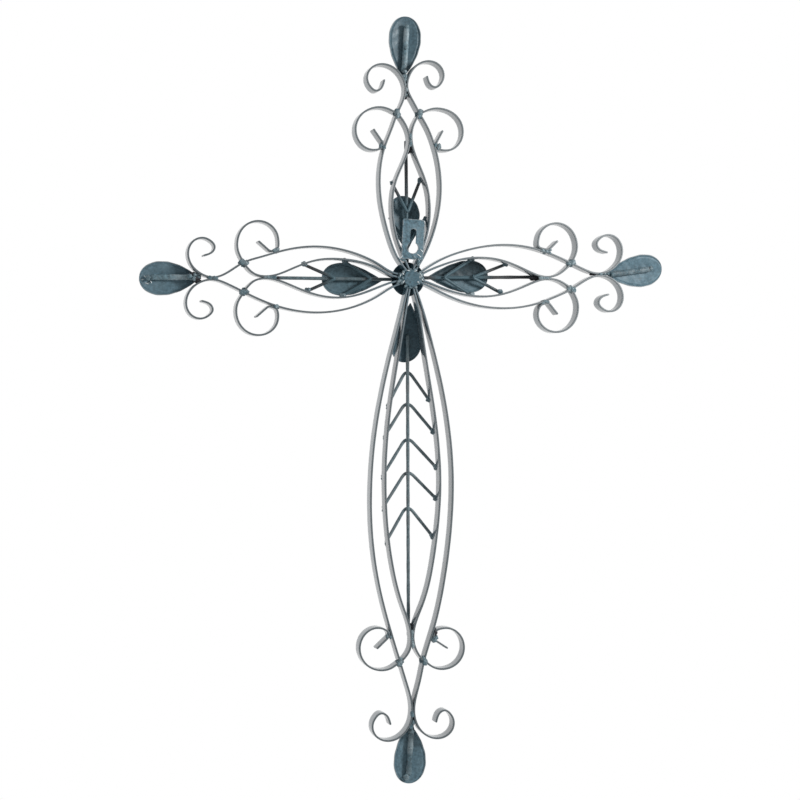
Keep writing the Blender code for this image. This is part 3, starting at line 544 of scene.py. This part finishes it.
def leafRings(arm, start, end, tipAside, endAside, tipDeep, tilt, sizes, seed):
    # Half width = share^gather * (1 - share)^round over its own peak; rings run across the back and return
    # across the front, with a half round rim between. Dents are products of sines, and the rolled lip behind the
    # rim is a bell curve of the distance from it.
    share = (0.5 - 0.5 * np.cos(np.pi * np.linspace(*leaves["ends"], leaves["rows"]) ** 0.9))[:, None]
    gather, fall = sizes["gather"], sizes["round"]
    peak = gather / (gather + fall)
    half = sizes["half"] * share ** gather * (1 - share) ** fall / (peak ** gather * (1 - peak) ** fall)
    half = half + leaves["rimWaver"] * np.sin(share * 31 + seed * 6.28) * np.sin(share * np.pi)
    across = np.sin(np.linspace(-np.pi / 2, np.pi / 2, leaves["columns"]))
    rim = np.radians(np.linspace(-60, 60, 3))
    loopAcross = np.r_[across, np.ones(3), across[::-1], -np.ones(3)]
    layer = np.r_[np.zeros(len(across)), 0.5 + 0.5 * np.sin(rim), np.ones(len(across)), 0.5 - 0.5 * np.sin(rim)]
    proud = np.r_[np.zeros(len(across)), np.cos(rim), np.zeros(len(across)), -np.cos(rim)]
    thick = stock["sheet"]
    side = half * loopAcross + proud * thick * leaves["rimProud"]
    aside = tipAside + (endAside - tipAside) * share
    dents = leaves["dent"] * (np.sin(share * 23 + seed * 9) * np.sin(side / 2.7 + seed * 5)
                              + 0.6 * np.sin(share * 41 + side / 1.9 + seed * 3))
    deep = tipDeep + tilt * share - leafFall(sizes, share, side) + thick * layer + dents * np.sin(np.pi * share)
    left = half * (1 - np.abs(loopAcross))
    lip = np.exp(-((left - leaves["lipAt"]) / leaves["lipWide"]) ** 2) * (layer < 0.5)
    deep = deep + leaves["lip"] * lip * np.sin(np.pi * share) ** 0.3
    edge = np.where(left < leaves["rimEdge"], 1.0, 0.0) + 0 * side
    return inRow(arm, start + (end - start) * share + 0 * side, aside + side, deep), edge


def crotch(arm, aside, room):
    # How far along the curls have parted so that a rod fits between them at its place aside.
    reached = arm["touchAt"]
    for hand, line in arm["lines"].items():
        past = line["outer"][line["outer"][:, 0] > arm["touchAt"]]
        parted = past[:, 1] - hand * aside > room + stock["barThick"] / 2
        reached = max(reached, past[np.argmax(parted), 0])
    return reached


# Rods

rods = {"sides": 14, "step": 0.7, "waver": 0.05, "waverWave": 3.1, "roughWave": 0.9, "ribRough": 0.04}
# Twigs cross behind the stem, and the inner leaf lies in front of it. Chevrons cross in front of the stem; there
# the leaf starts on the bars' edges, and the stem where the leaf has lifted off them. Weld is the bead on an end.
kinds = {"twig": {"bend": 2.6, "lap": -0.5, "stemFrom": 13.6, "weld": (2.4, 2.1, 2.0),
                  "apexDeep": stemDeep - stock["stem"] - stock["seam"] - stock["twig"],
                  "leafDeep": stemDeep + stock["stem"] + stock["seam"]},
         "chevron": {"bend": 8.5, "lap": 0.2, "stemFrom": 47.5, "weld": (2.3, 1.7, 1.8),
                     "apexDeep": stemDeep + stock["stem"] + stock["seam"] + stock["twig"],
                     "leafDeep": front + stock["seam"] / 2}}
# The paint of each arm's inner leaf, rib, stem and bent rods. Lighter and darker copies of one paint give each arm
# painted light and shade.
coats = {"top": ("innerSheetPaint", "litRibPaint", "rodPaint", "rodPaint"),
         "right": ("sideSheetPaint", "litRibPaint", "litRodPaint", "rodPaint"),
         "left": ("deepShadeSheetPaint", "ribPaint", "rodPaint", "rodPaint"),
         "bottom": ("shadedSheetPaint", "ribPaint", "litRodPaint", "litRodPaint")}


def rodRings(points, radius, seed, rough=0.0):
    # A round section carried along a line of points, with domed ends: radius * sqrt(1 - (1 - left/radius)^2)
    # within one radius of an end. Lumps are products of sines along the rod and round it.
    line = evenSteps(np.asarray(points) / mm, rods["step"])
    ways = np.gradient(line, axis=0)
    ways /= np.linalg.norm(ways, axis=1)[:, None]
    up = np.array([0.0, -1.0, 0.0])
    first = up - ways * (ways @ up)[:, None]
    first /= np.linalg.norm(first, axis=1)[:, None]
    second = np.cross(ways, first)
    reach = lengths(line)
    left = np.minimum(reach, reach[-1] - reach)
    dome = np.sqrt(np.clip(1 - (1 - np.clip(left / radius, 0.03, 1)) ** 2, 0.05, 1))
    turn = np.linspace(0, 2 * np.pi, rods["sides"], endpoint=False)
    lumps = 1 + rods["waver"] * np.sin(reach / rods["waverWave"] + seed * 6)[:, None] * np.sin(2 * turn + seed)
    lumps = lumps + (rough * np.sin(reach / rods["roughWave"] + seed * 4)[:, None]
                     * np.sin(3 * turn + reach[:, None] / 1.7))
    size = (radius * dome)[:, None] * lumps
    rings = (line[:, None, :] + first[:, None, :] * (size * np.cos(turn))[..., None]
             + second[:, None, :] * (size * np.sin(turn))[..., None])
    return rings * mm


def roundedPath(corners, bend):
    # Straight runs with each inner corner turned by a curve that starts this far from it.
    corners = np.asarray(corners, float)
    path = [corners[:1]]
    for before, corner, after in zip(corners, corners[1:], corners[2:]):
        one = corner + (before - corner) * min(0.45, bend / np.linalg.norm(before - corner))
        two = corner + (after - corner) * min(0.45, bend / np.linalg.norm(after - corner))
        path.append(roundCorner(one, corner, two))
    path.append(corners[-1:])
    return np.concatenate(path)


def stemSide(arm, along):
    # The stem's place aside, which changes evenly from the hub to where the eye closes.
    near, far = arm["stem"]
    return near + (far - near) * along / arm["eyeTouchAt"]


def bentRod(name, arm, coat, apex, ends):
    # A rod bent over the stem; its ends lie on the front edges of the eye's bars. Gives its apex and its ends.
    middle = np.array([apex, stemSide(arm, apex)])
    kind, radius = kinds[arm["kind"]], stock["twig"]
    limbs = {}
    for hand, end in ends.items():
        point, _, _ = onLine(arm["lines"][hand]["eye"], end)
        outer = np.array([end, hand * (point[1] + kind["lap"])])
        innerSide = hand * (point[1] - stock["barThick"] / 2 - radius)
        inner = middle + (outer - middle) * (innerSide - middle[1]) / (outer[1] - middle[1])
        limbs[hand] = [np.r_[inner, front + radius], np.r_[outer, front + radius]]
    corners = [limbs[-1][1], limbs[-1][0], np.r_[middle, kind["apexDeep"]], limbs[1][0], limbs[1][1]]
    path = roundedPath(corners, kind["bend"])
    rings = rodRings(inRow(arm, path[:, 0], path[:, 1], path[:, 2]), radius, phase(name))
    solidPiece(name + "_rod", [rings], coat, [name])
    return path[np.argmin(path[:, 0])], {hand: pair[1] for hand, pair in limbs.items()}


for label, arm in arms.items():
    innerCoat, ribCoat, stemCoat, rodCoat = coats[label]
    kind = kinds[arm["kind"]]
    past, long, tipAside, endAside = arm["tipLeaf"]
    start = arm["touchAt"] + past
    end = start + long
    rings, edge = leafRings(arm, start, end, tipAside, endAside, front, 0.0, leaves["tip"], phase(label))
    solidPiece(f"{label}_tip_leaf_sheet", [rings], "sheetPaint", [f"{label}_tip_leaf"], edge, 60)
    nearAside, farAside, ribShort = arm["rib"]
    near, far = crotch(arm, nearAside, stock["rib"] + 2 * stock["seam"]), end - ribShort
    deep = front - stock["seam"] - stock["rib"]
    farDeep = deep - float(leafFall(leaves["tip"], (far - start) / long, stock["rib"] + abs(farAside - endAside)))
    path = inRow(arm, np.array([near, far]), np.array([nearAside, farAside]), np.array([deep, farDeep]))
    rib = rodRings(path, stock["rib"], phase(label), rods["ribRough"])
    solidPiece(f"{label}_tip_rib_rod", [rib], ribCoat, [f"{label}_tip_rib"])
    start, long, half, tipAside, endAside, tilt = arm["innerLeaf"]
    rings, edge = leafRings(arm, start, start + long, tipAside, endAside, kind["leafDeep"], tilt,
                            {**leaves["inner"], "half": half}, phase(label + "i"))
    solidPiece(f"{label}_inner_leaf_sheet", [rings], innerCoat, [f"{label}_inner_leaf"], edge, 60)
    runs = np.array([kind["stemFrom"], arm["eyeTouchAt"]])
    stem = rodRings(inRow(arm, runs, stemSide(arm, runs), stemDeep), stock["stem"], phase(label + "s"))
    solidPiece(f"{label}_stem_rod", [stem], stemCoat, [f"{label}_stem"])
    arm["rodEnds"] = [bentRod(f"{label}_{name}", arm, rodCoat, apex, {1: one, -1: two})
                      for name, (apex, one, two) in arm["bent"].items()]
print("leaves and rods set")


# Hub and hanger

hubSheets = {
    "hub_back_disc": {"coat": "discPaint", "base": 0.0, "size": 7.3, "thick": 1.5, "roll": 0.3, "dome": 0.12,
                      "frontDome": 0.0, "lift": 0.0, "button": 3.2, "rings": 12, "rimRings": 9},
    "hub_front_boss": {"coat": "shadedSheetPaint", "base": backPlane - front, "size": 14.7, "thick": 1.5,
                       "roll": 0.4, "dome": 3.4, "frontDome": 3.4, "lift": 0.5, "button": 3.2, "rings": 24,
                       "rimRings": 7},
}
hubSides = 64
plate = {"merge": 0.02, "flat": 2, "round": 0.28, "roundSteps": 3, "sharp": 40}


def turnedRings(profile, sides):
    # A profile of radius and Y turned about the hub's axis; the first and last radii are nearly nothing.
    turn = np.linspace(0, 2 * np.pi, sides, endpoint=False)
    radius, y = profile[:, :1], profile[:, 1:]
    x = hub[0] + radius * np.cos(turn)
    z = hub[1] + radius * np.sin(turn)
    return np.stack([x, y + 0 * x, z], axis=-1) * mm


def hubSheet(node, sizes):
    # A round sheet: its back is base - dome * (1 - share^2) and its front the same less its thickness and a
    # raised middle, with a half round rim between.
    base, size, thick, roll = (sizes[key] for key in ("base", "size", "thick", "roll"))
    share = np.linspace(0.01, 1, sizes["rings"])
    back = np.stack([share * (size - roll), base - sizes["dome"] * (1 - share ** 2)], axis=1)
    edge = np.radians(np.linspace(90, -90, sizes["rimRings"]))[1:-1]
    rim = np.stack([size - roll + roll * np.cos(edge), base - thick / 2 + thick / 2 * np.sin(edge)], axis=1)
    share = share[::-1]
    lift = sizes["lift"] * np.exp(-(share * size / sizes["button"]) ** 4)
    face = np.stack([share * (size - roll), base - thick - sizes["frontDome"] * (1 - share ** 2) - lift], axis=1)
    rings = turnedRings(np.concatenate([back, rim, face]), hubSides)
    solidPiece(node + "_sheet", [rings], sizes["coat"], [node], sharp=60)


def hangerPlate():
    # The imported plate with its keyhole, its doubles merged and its edges rounded.
    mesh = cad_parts["hanger_plate"].data.copy()
    mesh.name = "hanger_plate_sheet"
    piece = placed("hanger_plate_sheet", mesh)
    mesh.materials.clear()
    mesh.materials.append(paint["platePaint"])
    weld = piece.modifiers.new("weld", "WELD")
    weld.merge_threshold = plate["merge"] * mm
    flat = piece.modifiers.new("flat", "DECIMATE")
    flat.decimate_type = "DISSOLVE"
    flat.angle_limit = math.radians(plate["flat"])
    rounding = piece.modifiers.new("rounding", "BEVEL")
    rounding.width = plate["round"] * mm
    rounding.segments = plate["roundSteps"]
    rounding.angle_limit = math.radians(plate["sharp"])
    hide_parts("hanger_plate")
    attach(piece, "root")


for node, sizes in hubSheets.items():
    hubSheet(node, sizes)
hangerPlate()
print("hub and hanger set")


# Welds

# jointBeads are those at each joint of the bars: ahead and aside of it, depth, and share of the joint's bead.
# endBeads are those on the rods' ends: ahead and inward of them, depth, and share of the end's bead. webBeads
# fill the corner where the eye closes: ahead of it, depth, and half the length and width.
welds = {"rows": 12, "columns": 18, "lump": 0.16, "joint": (3.0, 2.6, 2.1), "apex": (1.9, 1.8, 0.9),
         "apexOn": 0.2, "apexTurn": 0.3, "shadowFillDeep": 4.2,
         "webBeads": ((-5.0, 0.5, 2.1, 1.5), (-2.5, 0.75, 2.1, 1.2), (0.25, 0.5, 2.1, 1.5), (2.5, 0.75, 2.1, 1.2)),
         "jointBeads": ((1.2, 1.1, 1.2, 1.0), (-1.6, -1.0, 1.4, 0.9), (0.2, -1.6, 3.6, 0.85),
                        (0.0, 1.6, 4.2, 0.75), (0.4, 0.2, 0.5, 0.75)),
         "endBeads": ((0.3, -0.4, -1.6, 1.0), (-1.2, 0.0, -2.2, 0.8)), "fringeDeep": 0.8, "hubMarkThick": 0.4,
         "hubMarkOut": 0.05, "ribSpark": 0.45, "coreSides": 32, "sharp": 80}
# The core of the hub's weld: radius and Y.
weldCore = [(0.05, -2.0), (2.6, -2.0), (4.4, -2.3), (5.0, -3.5), (5.1, -6), (4.9, -10), (5.1, -13), (4.4, -14.6),
            (2.6, -15.2), (0.05, -15.3)]
# How far the beads on the rods' ends sit back along the arm and inward, by hand, and how large each rod's are.
endShifts = {"top": {1: (0.0, 0.0), -1: (0.0, 0.8)}, "right": {1: (0.0, 0.0), -1: (1.9, 1.9)},
             "left": {1: (0.0, 0.0), -1: (1.9, 1.9)}, "bottom": {1: (0.0, 1.7), -1: (0.4, 1.3)}}
endGrows = {"top": (0.6, 1), "right": (1, 1), "left": (1, 1), "bottom": (1.15,) * 5}

# Beads listed one by one: distance along the arm, side, depth, and half the length and width of each.
beadsAt = {
    "top": [
        (113.4, 25.2, 1.0, 2.4, 1.5), (112.0, 22.6, 0.8, 1.8, 1.7), (115.8, 23.9, 1.6, 2.5, 1.2),
        (112.6, 24.0, 4.5, 2.2, 1.9), (114.4, -22.7, 0.8, 2.0, 1.5), (111.8, -25.4, 1.0, 2.0, 1.5),
        (113.0, -24.2, 4.5, 2.2, 1.9), (113.6, -26.0, 1.2, 2.5, 1.9), (177.0, 2.6, 3.0, 2.2, 1.7),
        (173.0, 4.3, 2.2, 1.7, 1.5), (170.6, 1.5, 2.0, 1.8, 1.5), (166.0, 3.4, 0.9, 2.0, 1.1),
        (161.5, 1.9, 0.7, 2.2, 1.1), (157.0, 2.0, 1.2, 1.6, 0.8), (172.8, 2.4, 2.4, 2.7, 2.0),
        (169.9, 3.2, 2.0, 2.5, 1.8), (216.6, -0.9, 8.6, 2.0, 2.0), (198.5, 0.4, 8.0, 1.6, 1.3)],
    "right": [
        (118.2, 23.6, 0.8, 2.5, 1.6), (115.9, 24.8, 1.2, 1.9, 1.8), (117.2, 22.9, 4.0, 2.4, 1.8),
        (118.0, -23.4, 0.8, 2.6, 1.8), (117.0, -24.2, 4.0, 2.2, 1.7), (169.2, 0.5, 0.8, 2.9, 1.9),
        (173.4, 1.0, 0.9, 2.7, 1.7), (224.0, 1.2, 8.6, 2.2, 2.3), (223.0, -2.4, 12.2, 2.2, 0.7),
        (227.0, -3.0, 12.4, 2.6, 0.6), (189.6, 2.4, 4.0, 2.4, 2.2), (186.6, 0.4, 3.4, 2.2, 2.1),
        (185.6, 3.4, 3.0, 1.9, 1.7), (182.6, 1.4, 4.0, 2.2, 1.7), (182.4, 3.8, 4.4, 2.9, 1.8)],
    "left": [
        (118.0, 24.2, 0.8, 2.2, 1.4), (121.4, 23.3, 0.7, 2.2, 1.4), (124.2, 24.8, 1.0, 2.2, 1.4),
        (124.2, 22.2, 0.8, 1.6, 1.3), (121.0, 23.2, 4.5, 2.8, 1.8), (119.6, -19.8, 0.8, 2.2, 1.2),
        (121.6, -20.6, 0.9, 2.4, 1.4), (117.5, -21.6, 0.9, 1.8, 1.4), (119.0, -20.6, 4.5, 2.8, 1.8),
        (170.6, 3.7, 0.8, 2.6, 1.2), (174.6, 4.1, 1.4, 2.0, 1.3), (178.0, 4.4, 2.0, 2.0, 1.8),
        (182.4, 3.3, 3.0, 2.2, 1.8), (221.0, 9.4, 8.4, 2.2, 2.0), (58.3, 2.4, 11.5, 1.5, 1.4)],
    "bottom": [
        (302.5, 24.6, 1.2, 1.8, 1.3), (305.4, 25.7, 1.2, 1.8, 1.4), (306.2, 22.9, 0.8, 1.7, 1.2),
        (303.6, 23.4, 3.0, 2.6, 1.8), (310.2, -15.4, 0.8, 2.7, 2.6), (308.6, -17.2, 1.6, 2.2, 2.0),
        (307.4, -15.8, 2.6, 2.0, 1.6), (373.0, 4.7, 0.8, 3.4, 1.7), (380.0, 3.6, 2.4, 2.6, 1.9),
        (384.0, 5.0, 3.6, 2.8, 2.0), (388.2, 4.0, 5.4, 2.6, 1.9), (428.4, 8.6, 8.8, 2.6, 2.6),
        (403.6, 4.8, 8.2, 1.6, 1.4), (313.6, 3.4, 0.8, 3.4, 1.5)],
}
# Near-black beads deep between the bars, in the same five sizes: a dark filler for the shade there, painted shade.
shadowFillAt = {
    "top": [
        (111.0, -1.0, 8.0, 3.4, 1.9), (157.0, 1.4, 6.0, 3.0, 1.0), (169.0, 3.0, 6.0, 3.2, 1.4)],
    "right": [
        (115.6, 1.2, 8.0, 3.0, 1.3), (184.2, 0.4, 5.6, 3.6, 1.9), (187.6, 4.4, 6.6, 3.0, 1.4),
        (183.4, -1.8, 6.0, 3.4, 1.8)],
    "left": [
        (112.0, 0.5, 8.0, 5.2, 1.8), (165.2, 3.6, 4.5, 3.0, 0.9), (176.0, 4.2, 6.0, 2.6, 1.8)],
    "bottom": [
        (301.5, 3.5, 8.0, 5.4, 1.7), (304.0, -17.0, 3.6, 3.6, 1.7), (379.0, 4.0, 6.5, 3.0, 1.5)],
}
# Beads round the disc and on the plate's lower end: X, Z and Y, half the length and width, and turn in degrees.
hubBeads = [
    (10.8, -43.2, -1.0, 2.0, 1.4, 30), (12.4, -45.6, -1.4, 1.8, 1.3, -10), (9.6, -46.4, -0.7, 1.9, 1.3, 60),
    (12.2, -48.6, -1.3, 2.3, 1.4, -35), (10.0, -50.0, -0.9, 2.0, 1.3, -70), (8.6, -41.4, -0.9, 1.7, 1.1, 50),
    (13.4, -50.4, -1.6, 1.8, 1.0, -30), (-5.5, -42.2, -0.9, 1.9, 1.3, -40), (-7.6, -43.4, -1.3, 1.7, 1.1, 20),
    (-6.2, -45.4, -0.8, 1.9, 1.2, 80), (-8.0, -46.8, -1.4, 1.7, 1.1, 0), (-6.0, -48.4, -0.9, 1.8, 1.2, 60),
    (-4.6, -50.6, -1.0, 1.6, 1.1, 40), (6.4, -39.9, -1.1, 1.7, 1.0, 20), (2.8, -39.0, -1.2, 1.9, 0.8, 0),
    (-1.2, -39.3, -1.1, 1.8, 0.9, -15), (6.6, -52.8, -1.1, 2.1, 1.2, -40), (2.6, -54.3, -1.2, 2.2, 1.0, 0),
    (-1.6, -53.6, -1.1, 1.9, 1.1, 30), (11.6, -30.3, -0.7, 1.8, 1.0, -20), (8.6, -31.0, -0.8, 2.2, 0.9, 5),
    (-0.9, -28.8, -0.1, 2.0, 1.1, 55), (-4.4, -31.2, -0.8, 2.6, 1.5, 70), (-4.6, -34.6, -1.2, 2.6, 1.4, 75)]
# Bright specks of weld on plate and disc, white as painted highlights: marks on the plate, and thin lines along
# the disc's rim where it catches the light. X and Z, half the length and width, and turn in degrees. A flat third
# size and one height serve them all.
hubMarksAndHighlights = [
    (10.4, -28.3, 1.8, 0.45, -54), (12.3, -29.3, 1.1, 0.45, 20), (-7.3, -23.1, 2.4, 0.45, 47),
    (-4.9, -27.1, 2.4, 0.45, 38), (-10.2, 1.5, 1.3, 0.45, 52), (4.4, -40.0, 1.6, 0.4, 12),
    (-1.8, -40.3, 1.5, 0.4, -22), (9.3, -42.6, 1.3, 0.45, 60), (11.8, -44.2, 1.0, 0.45, 110),
    (8.9, -49.6, 1.7, 0.4, -50), (-6.4, -43.4, 1.1, 0.45, 60), (-5.3, -45.8, 0.9, 0.4, 100),
    (-3.8, -49.9, 0.9, 0.5, 20), (-7.8, -48.0, 1.3, 0.4, 50), (-7.2, -44.8, 0.8, 0.45, 10)]
# Bright specks on the right rib: along, side, depth, half the length, and turn in degrees.
ribSparks = [
    (226.2, 2.2, 10.6, 1.8, 35), (229.6, -0.4, 12.0, 2.3, -20), (225.0, -3.2, 12.0, 2.0, 12),
    (221.6, -2.0, 11.0, 1.5, 65)]


def bead(centre, sizes, turn, seed):
    # An egg of weld metal: a sphere stretched by its three sizes, with lumps from products of sines, turned
    # about Y.
    polar = np.linspace(0.08, np.pi - 0.08, welds["rows"])[:, None]
    around = np.linspace(0, 2 * np.pi, welds["columns"], endpoint=False)
    x, y, z = np.cos(polar) + 0 * around, np.sin(polar) * np.cos(around), np.sin(polar) * np.sin(around)
    lumps = 1 + welds["lump"] * (np.sin(3.1 * x + 7 * seed) * np.sin(3.7 * y + 5 * seed)
                                 + 0.7 * np.sin(5.3 * z + 11 * seed + 2.2 * x))
    x, y, z = x * lumps * sizes[0], y * lumps * sizes[2], z * lumps * sizes[1]
    c, s = math.cos(turn), math.sin(turn)
    return np.stack([c * x - s * z, y, s * x + c * z], axis=-1) * mm + np.asarray(centre)


def armTurn(arm, way):
    # The angle in the XZ plane of a direction given as along and side.
    x = arm["along"][0] * way[0] + arm["side"][0] * way[1]
    z = arm["along"][1] * way[0] + arm["side"][1] * way[1]
    return math.atan2(z, x)


def armBead(arm, at, aside, deep, sizes, seed, way=(1, 0)):
    # A bead at its place on an arm, lying along a direction given as along and side.
    return bead(inRow(arm, at, aside, deep), sizes, armTurn(arm, way), phase(seed))


def armMetal(label, arm):
    # Beads at the bars' joints, along the web where the eye's bars meet, by hand, and on the rods.
    metal, joint = [], np.array(welds["joint"])
    for hand, line in arm["lines"].items():
        mirror = np.array([1, hand])
        weld, way = line["weld"] * mirror, line["face"] * mirror
        for k, (ahead, aside, deep, grow) in enumerate(welds["jointBeads"]):
            at = weld + way * ahead + line["left"] * mirror * aside
            metal.append(armBead(arm, *at, deep, joint * grow, f"{label}{hand}{k}", way))
    aside = arm["eye"][-2][2]
    for k, (ahead, deep, long, wide) in enumerate(welds["webBeads"]):
        metal.append(armBead(arm, arm["eyeTouchAt"] + ahead, aside, deep, (long, wide, 1.0), f"{label}w{k}"))
    for k, (at, aside, deep, long, wide) in enumerate(beadsAt[label]):
        metal.append(armBead(arm, at, aside, deep, (long, wide, min(long, wide)), f"{label}b{k}"))
    for (apex, ends), largeness in zip(arm["rodEnds"], endGrows[label]):
        metal.append(bead(inRow(arm, apex[0] + welds["apexOn"], apex[1], (apex[2] + stemDeep) / 2), welds["apex"],
                          welds["apexTurn"], phase(f"{label}a{apex[0]}")))
        size = np.array(kinds[arm["kind"]]["weld"]) * largeness
        for hand, end in ends.items():
            back, inset = endShifts[label][hand]
            for k, (ahead, inward, deep, grow) in enumerate(welds["endBeads"]):
                metal.append(armBead(arm, end[0] + ahead - back, end[1] - hand * (inward + inset), end[2] + deep,
                                     size * grow, f"{label}e{k}{apex[0]}{hand}", (1, hand)))
    return metal


def weldPiece(name, coat, metal):
    # Beads joined into one piece.
    solidPiece(name, metal, coat, sharp=welds["sharp"])


for label, arm in arms.items():
    weldPiece(f"{label}_arm_welds", "weldPaint", armMetal(label, arm))
    # Near-black beads between the bars: painted shade.
    weldPiece(f"{label}_arm_burnt_welds", "shadowFillPaint", [
        armBead(arm, at, aside, deep, (long, wide, welds["shadowFillDeep"]), f"{label}s{at}")
        for at, aside, deep, long, wide in shadowFillAt[label]])
core = turnedRings(np.array(weldCore), welds["coreSides"])
solidPiece("hub_weld_core", [core], "weldPaint", sharp=60)
weldPiece("hub_weld_fringe", "weldPaint", [
    bead(np.array([x, y, z]) * mm, (long, wide, welds["fringeDeep"] * wide), math.radians(turn),
         phase(f"fringe{x}"))
    for x, z, y, long, wide, turn in hubBeads])
weldPiece("right_rib_sparks", "markAndHighlightPaint", [
    bead(inRow(arms["right"], at, aside, deep), (long, welds["ribSpark"], welds["ribSpark"]), math.radians(turn),
         phase(f"rib{at}")) for at, aside, deep, long, turn in ribSparks])
# Bright weld marks and painted highlights on plate and disc.
weldPiece("hub_marks_and_highlights", "markAndHighlightPaint", [
    bead(np.array([x, welds["hubMarkOut"], z]) * mm, (long, wide, welds["hubMarkThick"]), math.radians(turn),
         phase(f"tack{x}")) for x, z, long, wide, turn in hubMarksAndHighlights])
print("welds laid")


# Studio

studio = {
    "floor": {"radius": 2.4, "level": -1.55, "sides": 96, "colour": (0.86, 0.86, 0.85), "rough": 0.8},
    "world": {"bright": 1.0, "dim": 0.3, "from": -0.25, "to": 0.5},
    "key": {"place": (-0.78, 0.8, 0.2), "size": 0.3, "power": 8.3, "aim": (0.0, 0.0, -0.1)},
    "camera": {"place": (0.41574, 1.6498, -0.13906), "turn": (89.614, 0.807, 166.295), "lens": 89.514,
               "film": 36},
}


def buildStudio():
    # A pale round floor below the hung cross, a white room that is dimmer behind the camera, and one soft lamp
    # above right of the camera.
    floor = studio["floor"]
    radius, sides = floor["radius"], floor["sides"]
    turn = np.linspace(0, 2 * np.pi, sides, endpoint=False)
    ring = np.stack([radius * np.cos(turn), radius * np.sin(turn), np.full(sides, floor["level"])], axis=1)
    mesh = bpy.data.meshes.new("studio_floor")
    mesh.from_pydata(ring.tolist(), [], [list(range(sides))])
    material = bpy.data.materials.new("floorPaint")
    material.use_nodes = True
    shader = material.node_tree.nodes["Principled BSDF"]
    shader.inputs["Base Color"].default_value = (*floor["colour"], 1)
    shader.inputs["Roughness"].default_value = floor["rough"]
    mesh.materials.append(material)
    piece = placed("studio_floor", mesh)
    world = bpy.data.worlds.new("studio")
    world.use_nodes = True
    tree = world.node_tree
    background = tree.nodes["Background"]
    background.inputs["Color"].default_value = (1, 1, 1, 1)
    way = addNode(tree, "SeparateXYZ", {0: addNode(tree, "TexCoord", {})["Generated"]})["Y"]
    room = studio["world"]
    dimmed = spread(tree, way, room["from"], room["to"], (room["bright"], room["dim"]))
    tree.links.new(dimmed, background.inputs["Strength"])
    bpy.context.scene.world = world
    key = studio["key"]
    lamp = bpy.data.lights.new("key", "AREA")
    lamp.size, lamp.energy = key["size"], key["power"]
    light = placed("key", lamp)
    light.location = key["place"]
    aim = np.array(key["aim"]) - np.array(key["place"])
    light.rotation_euler = (math.acos(-aim[2] / np.linalg.norm(aim)), 0, math.atan2(aim[1], aim[0]) - math.pi / 2)
    camera = bpy.data.cameras.new("camera")
    camera.lens = studio["camera"]["lens"]
    camera.sensor_width = studio["camera"]["film"]
    view = placed("camera", camera)
    view.location = studio["camera"]["place"]
    view.rotation_euler = [math.radians(v) for v in studio["camera"]["turn"]]
    bpy.context.scene.camera = view
    bpy.context.scene.view_settings.view_transform = "Standard"


buildStudio()
print("studio lit")

bpy.context.view_layer.update()
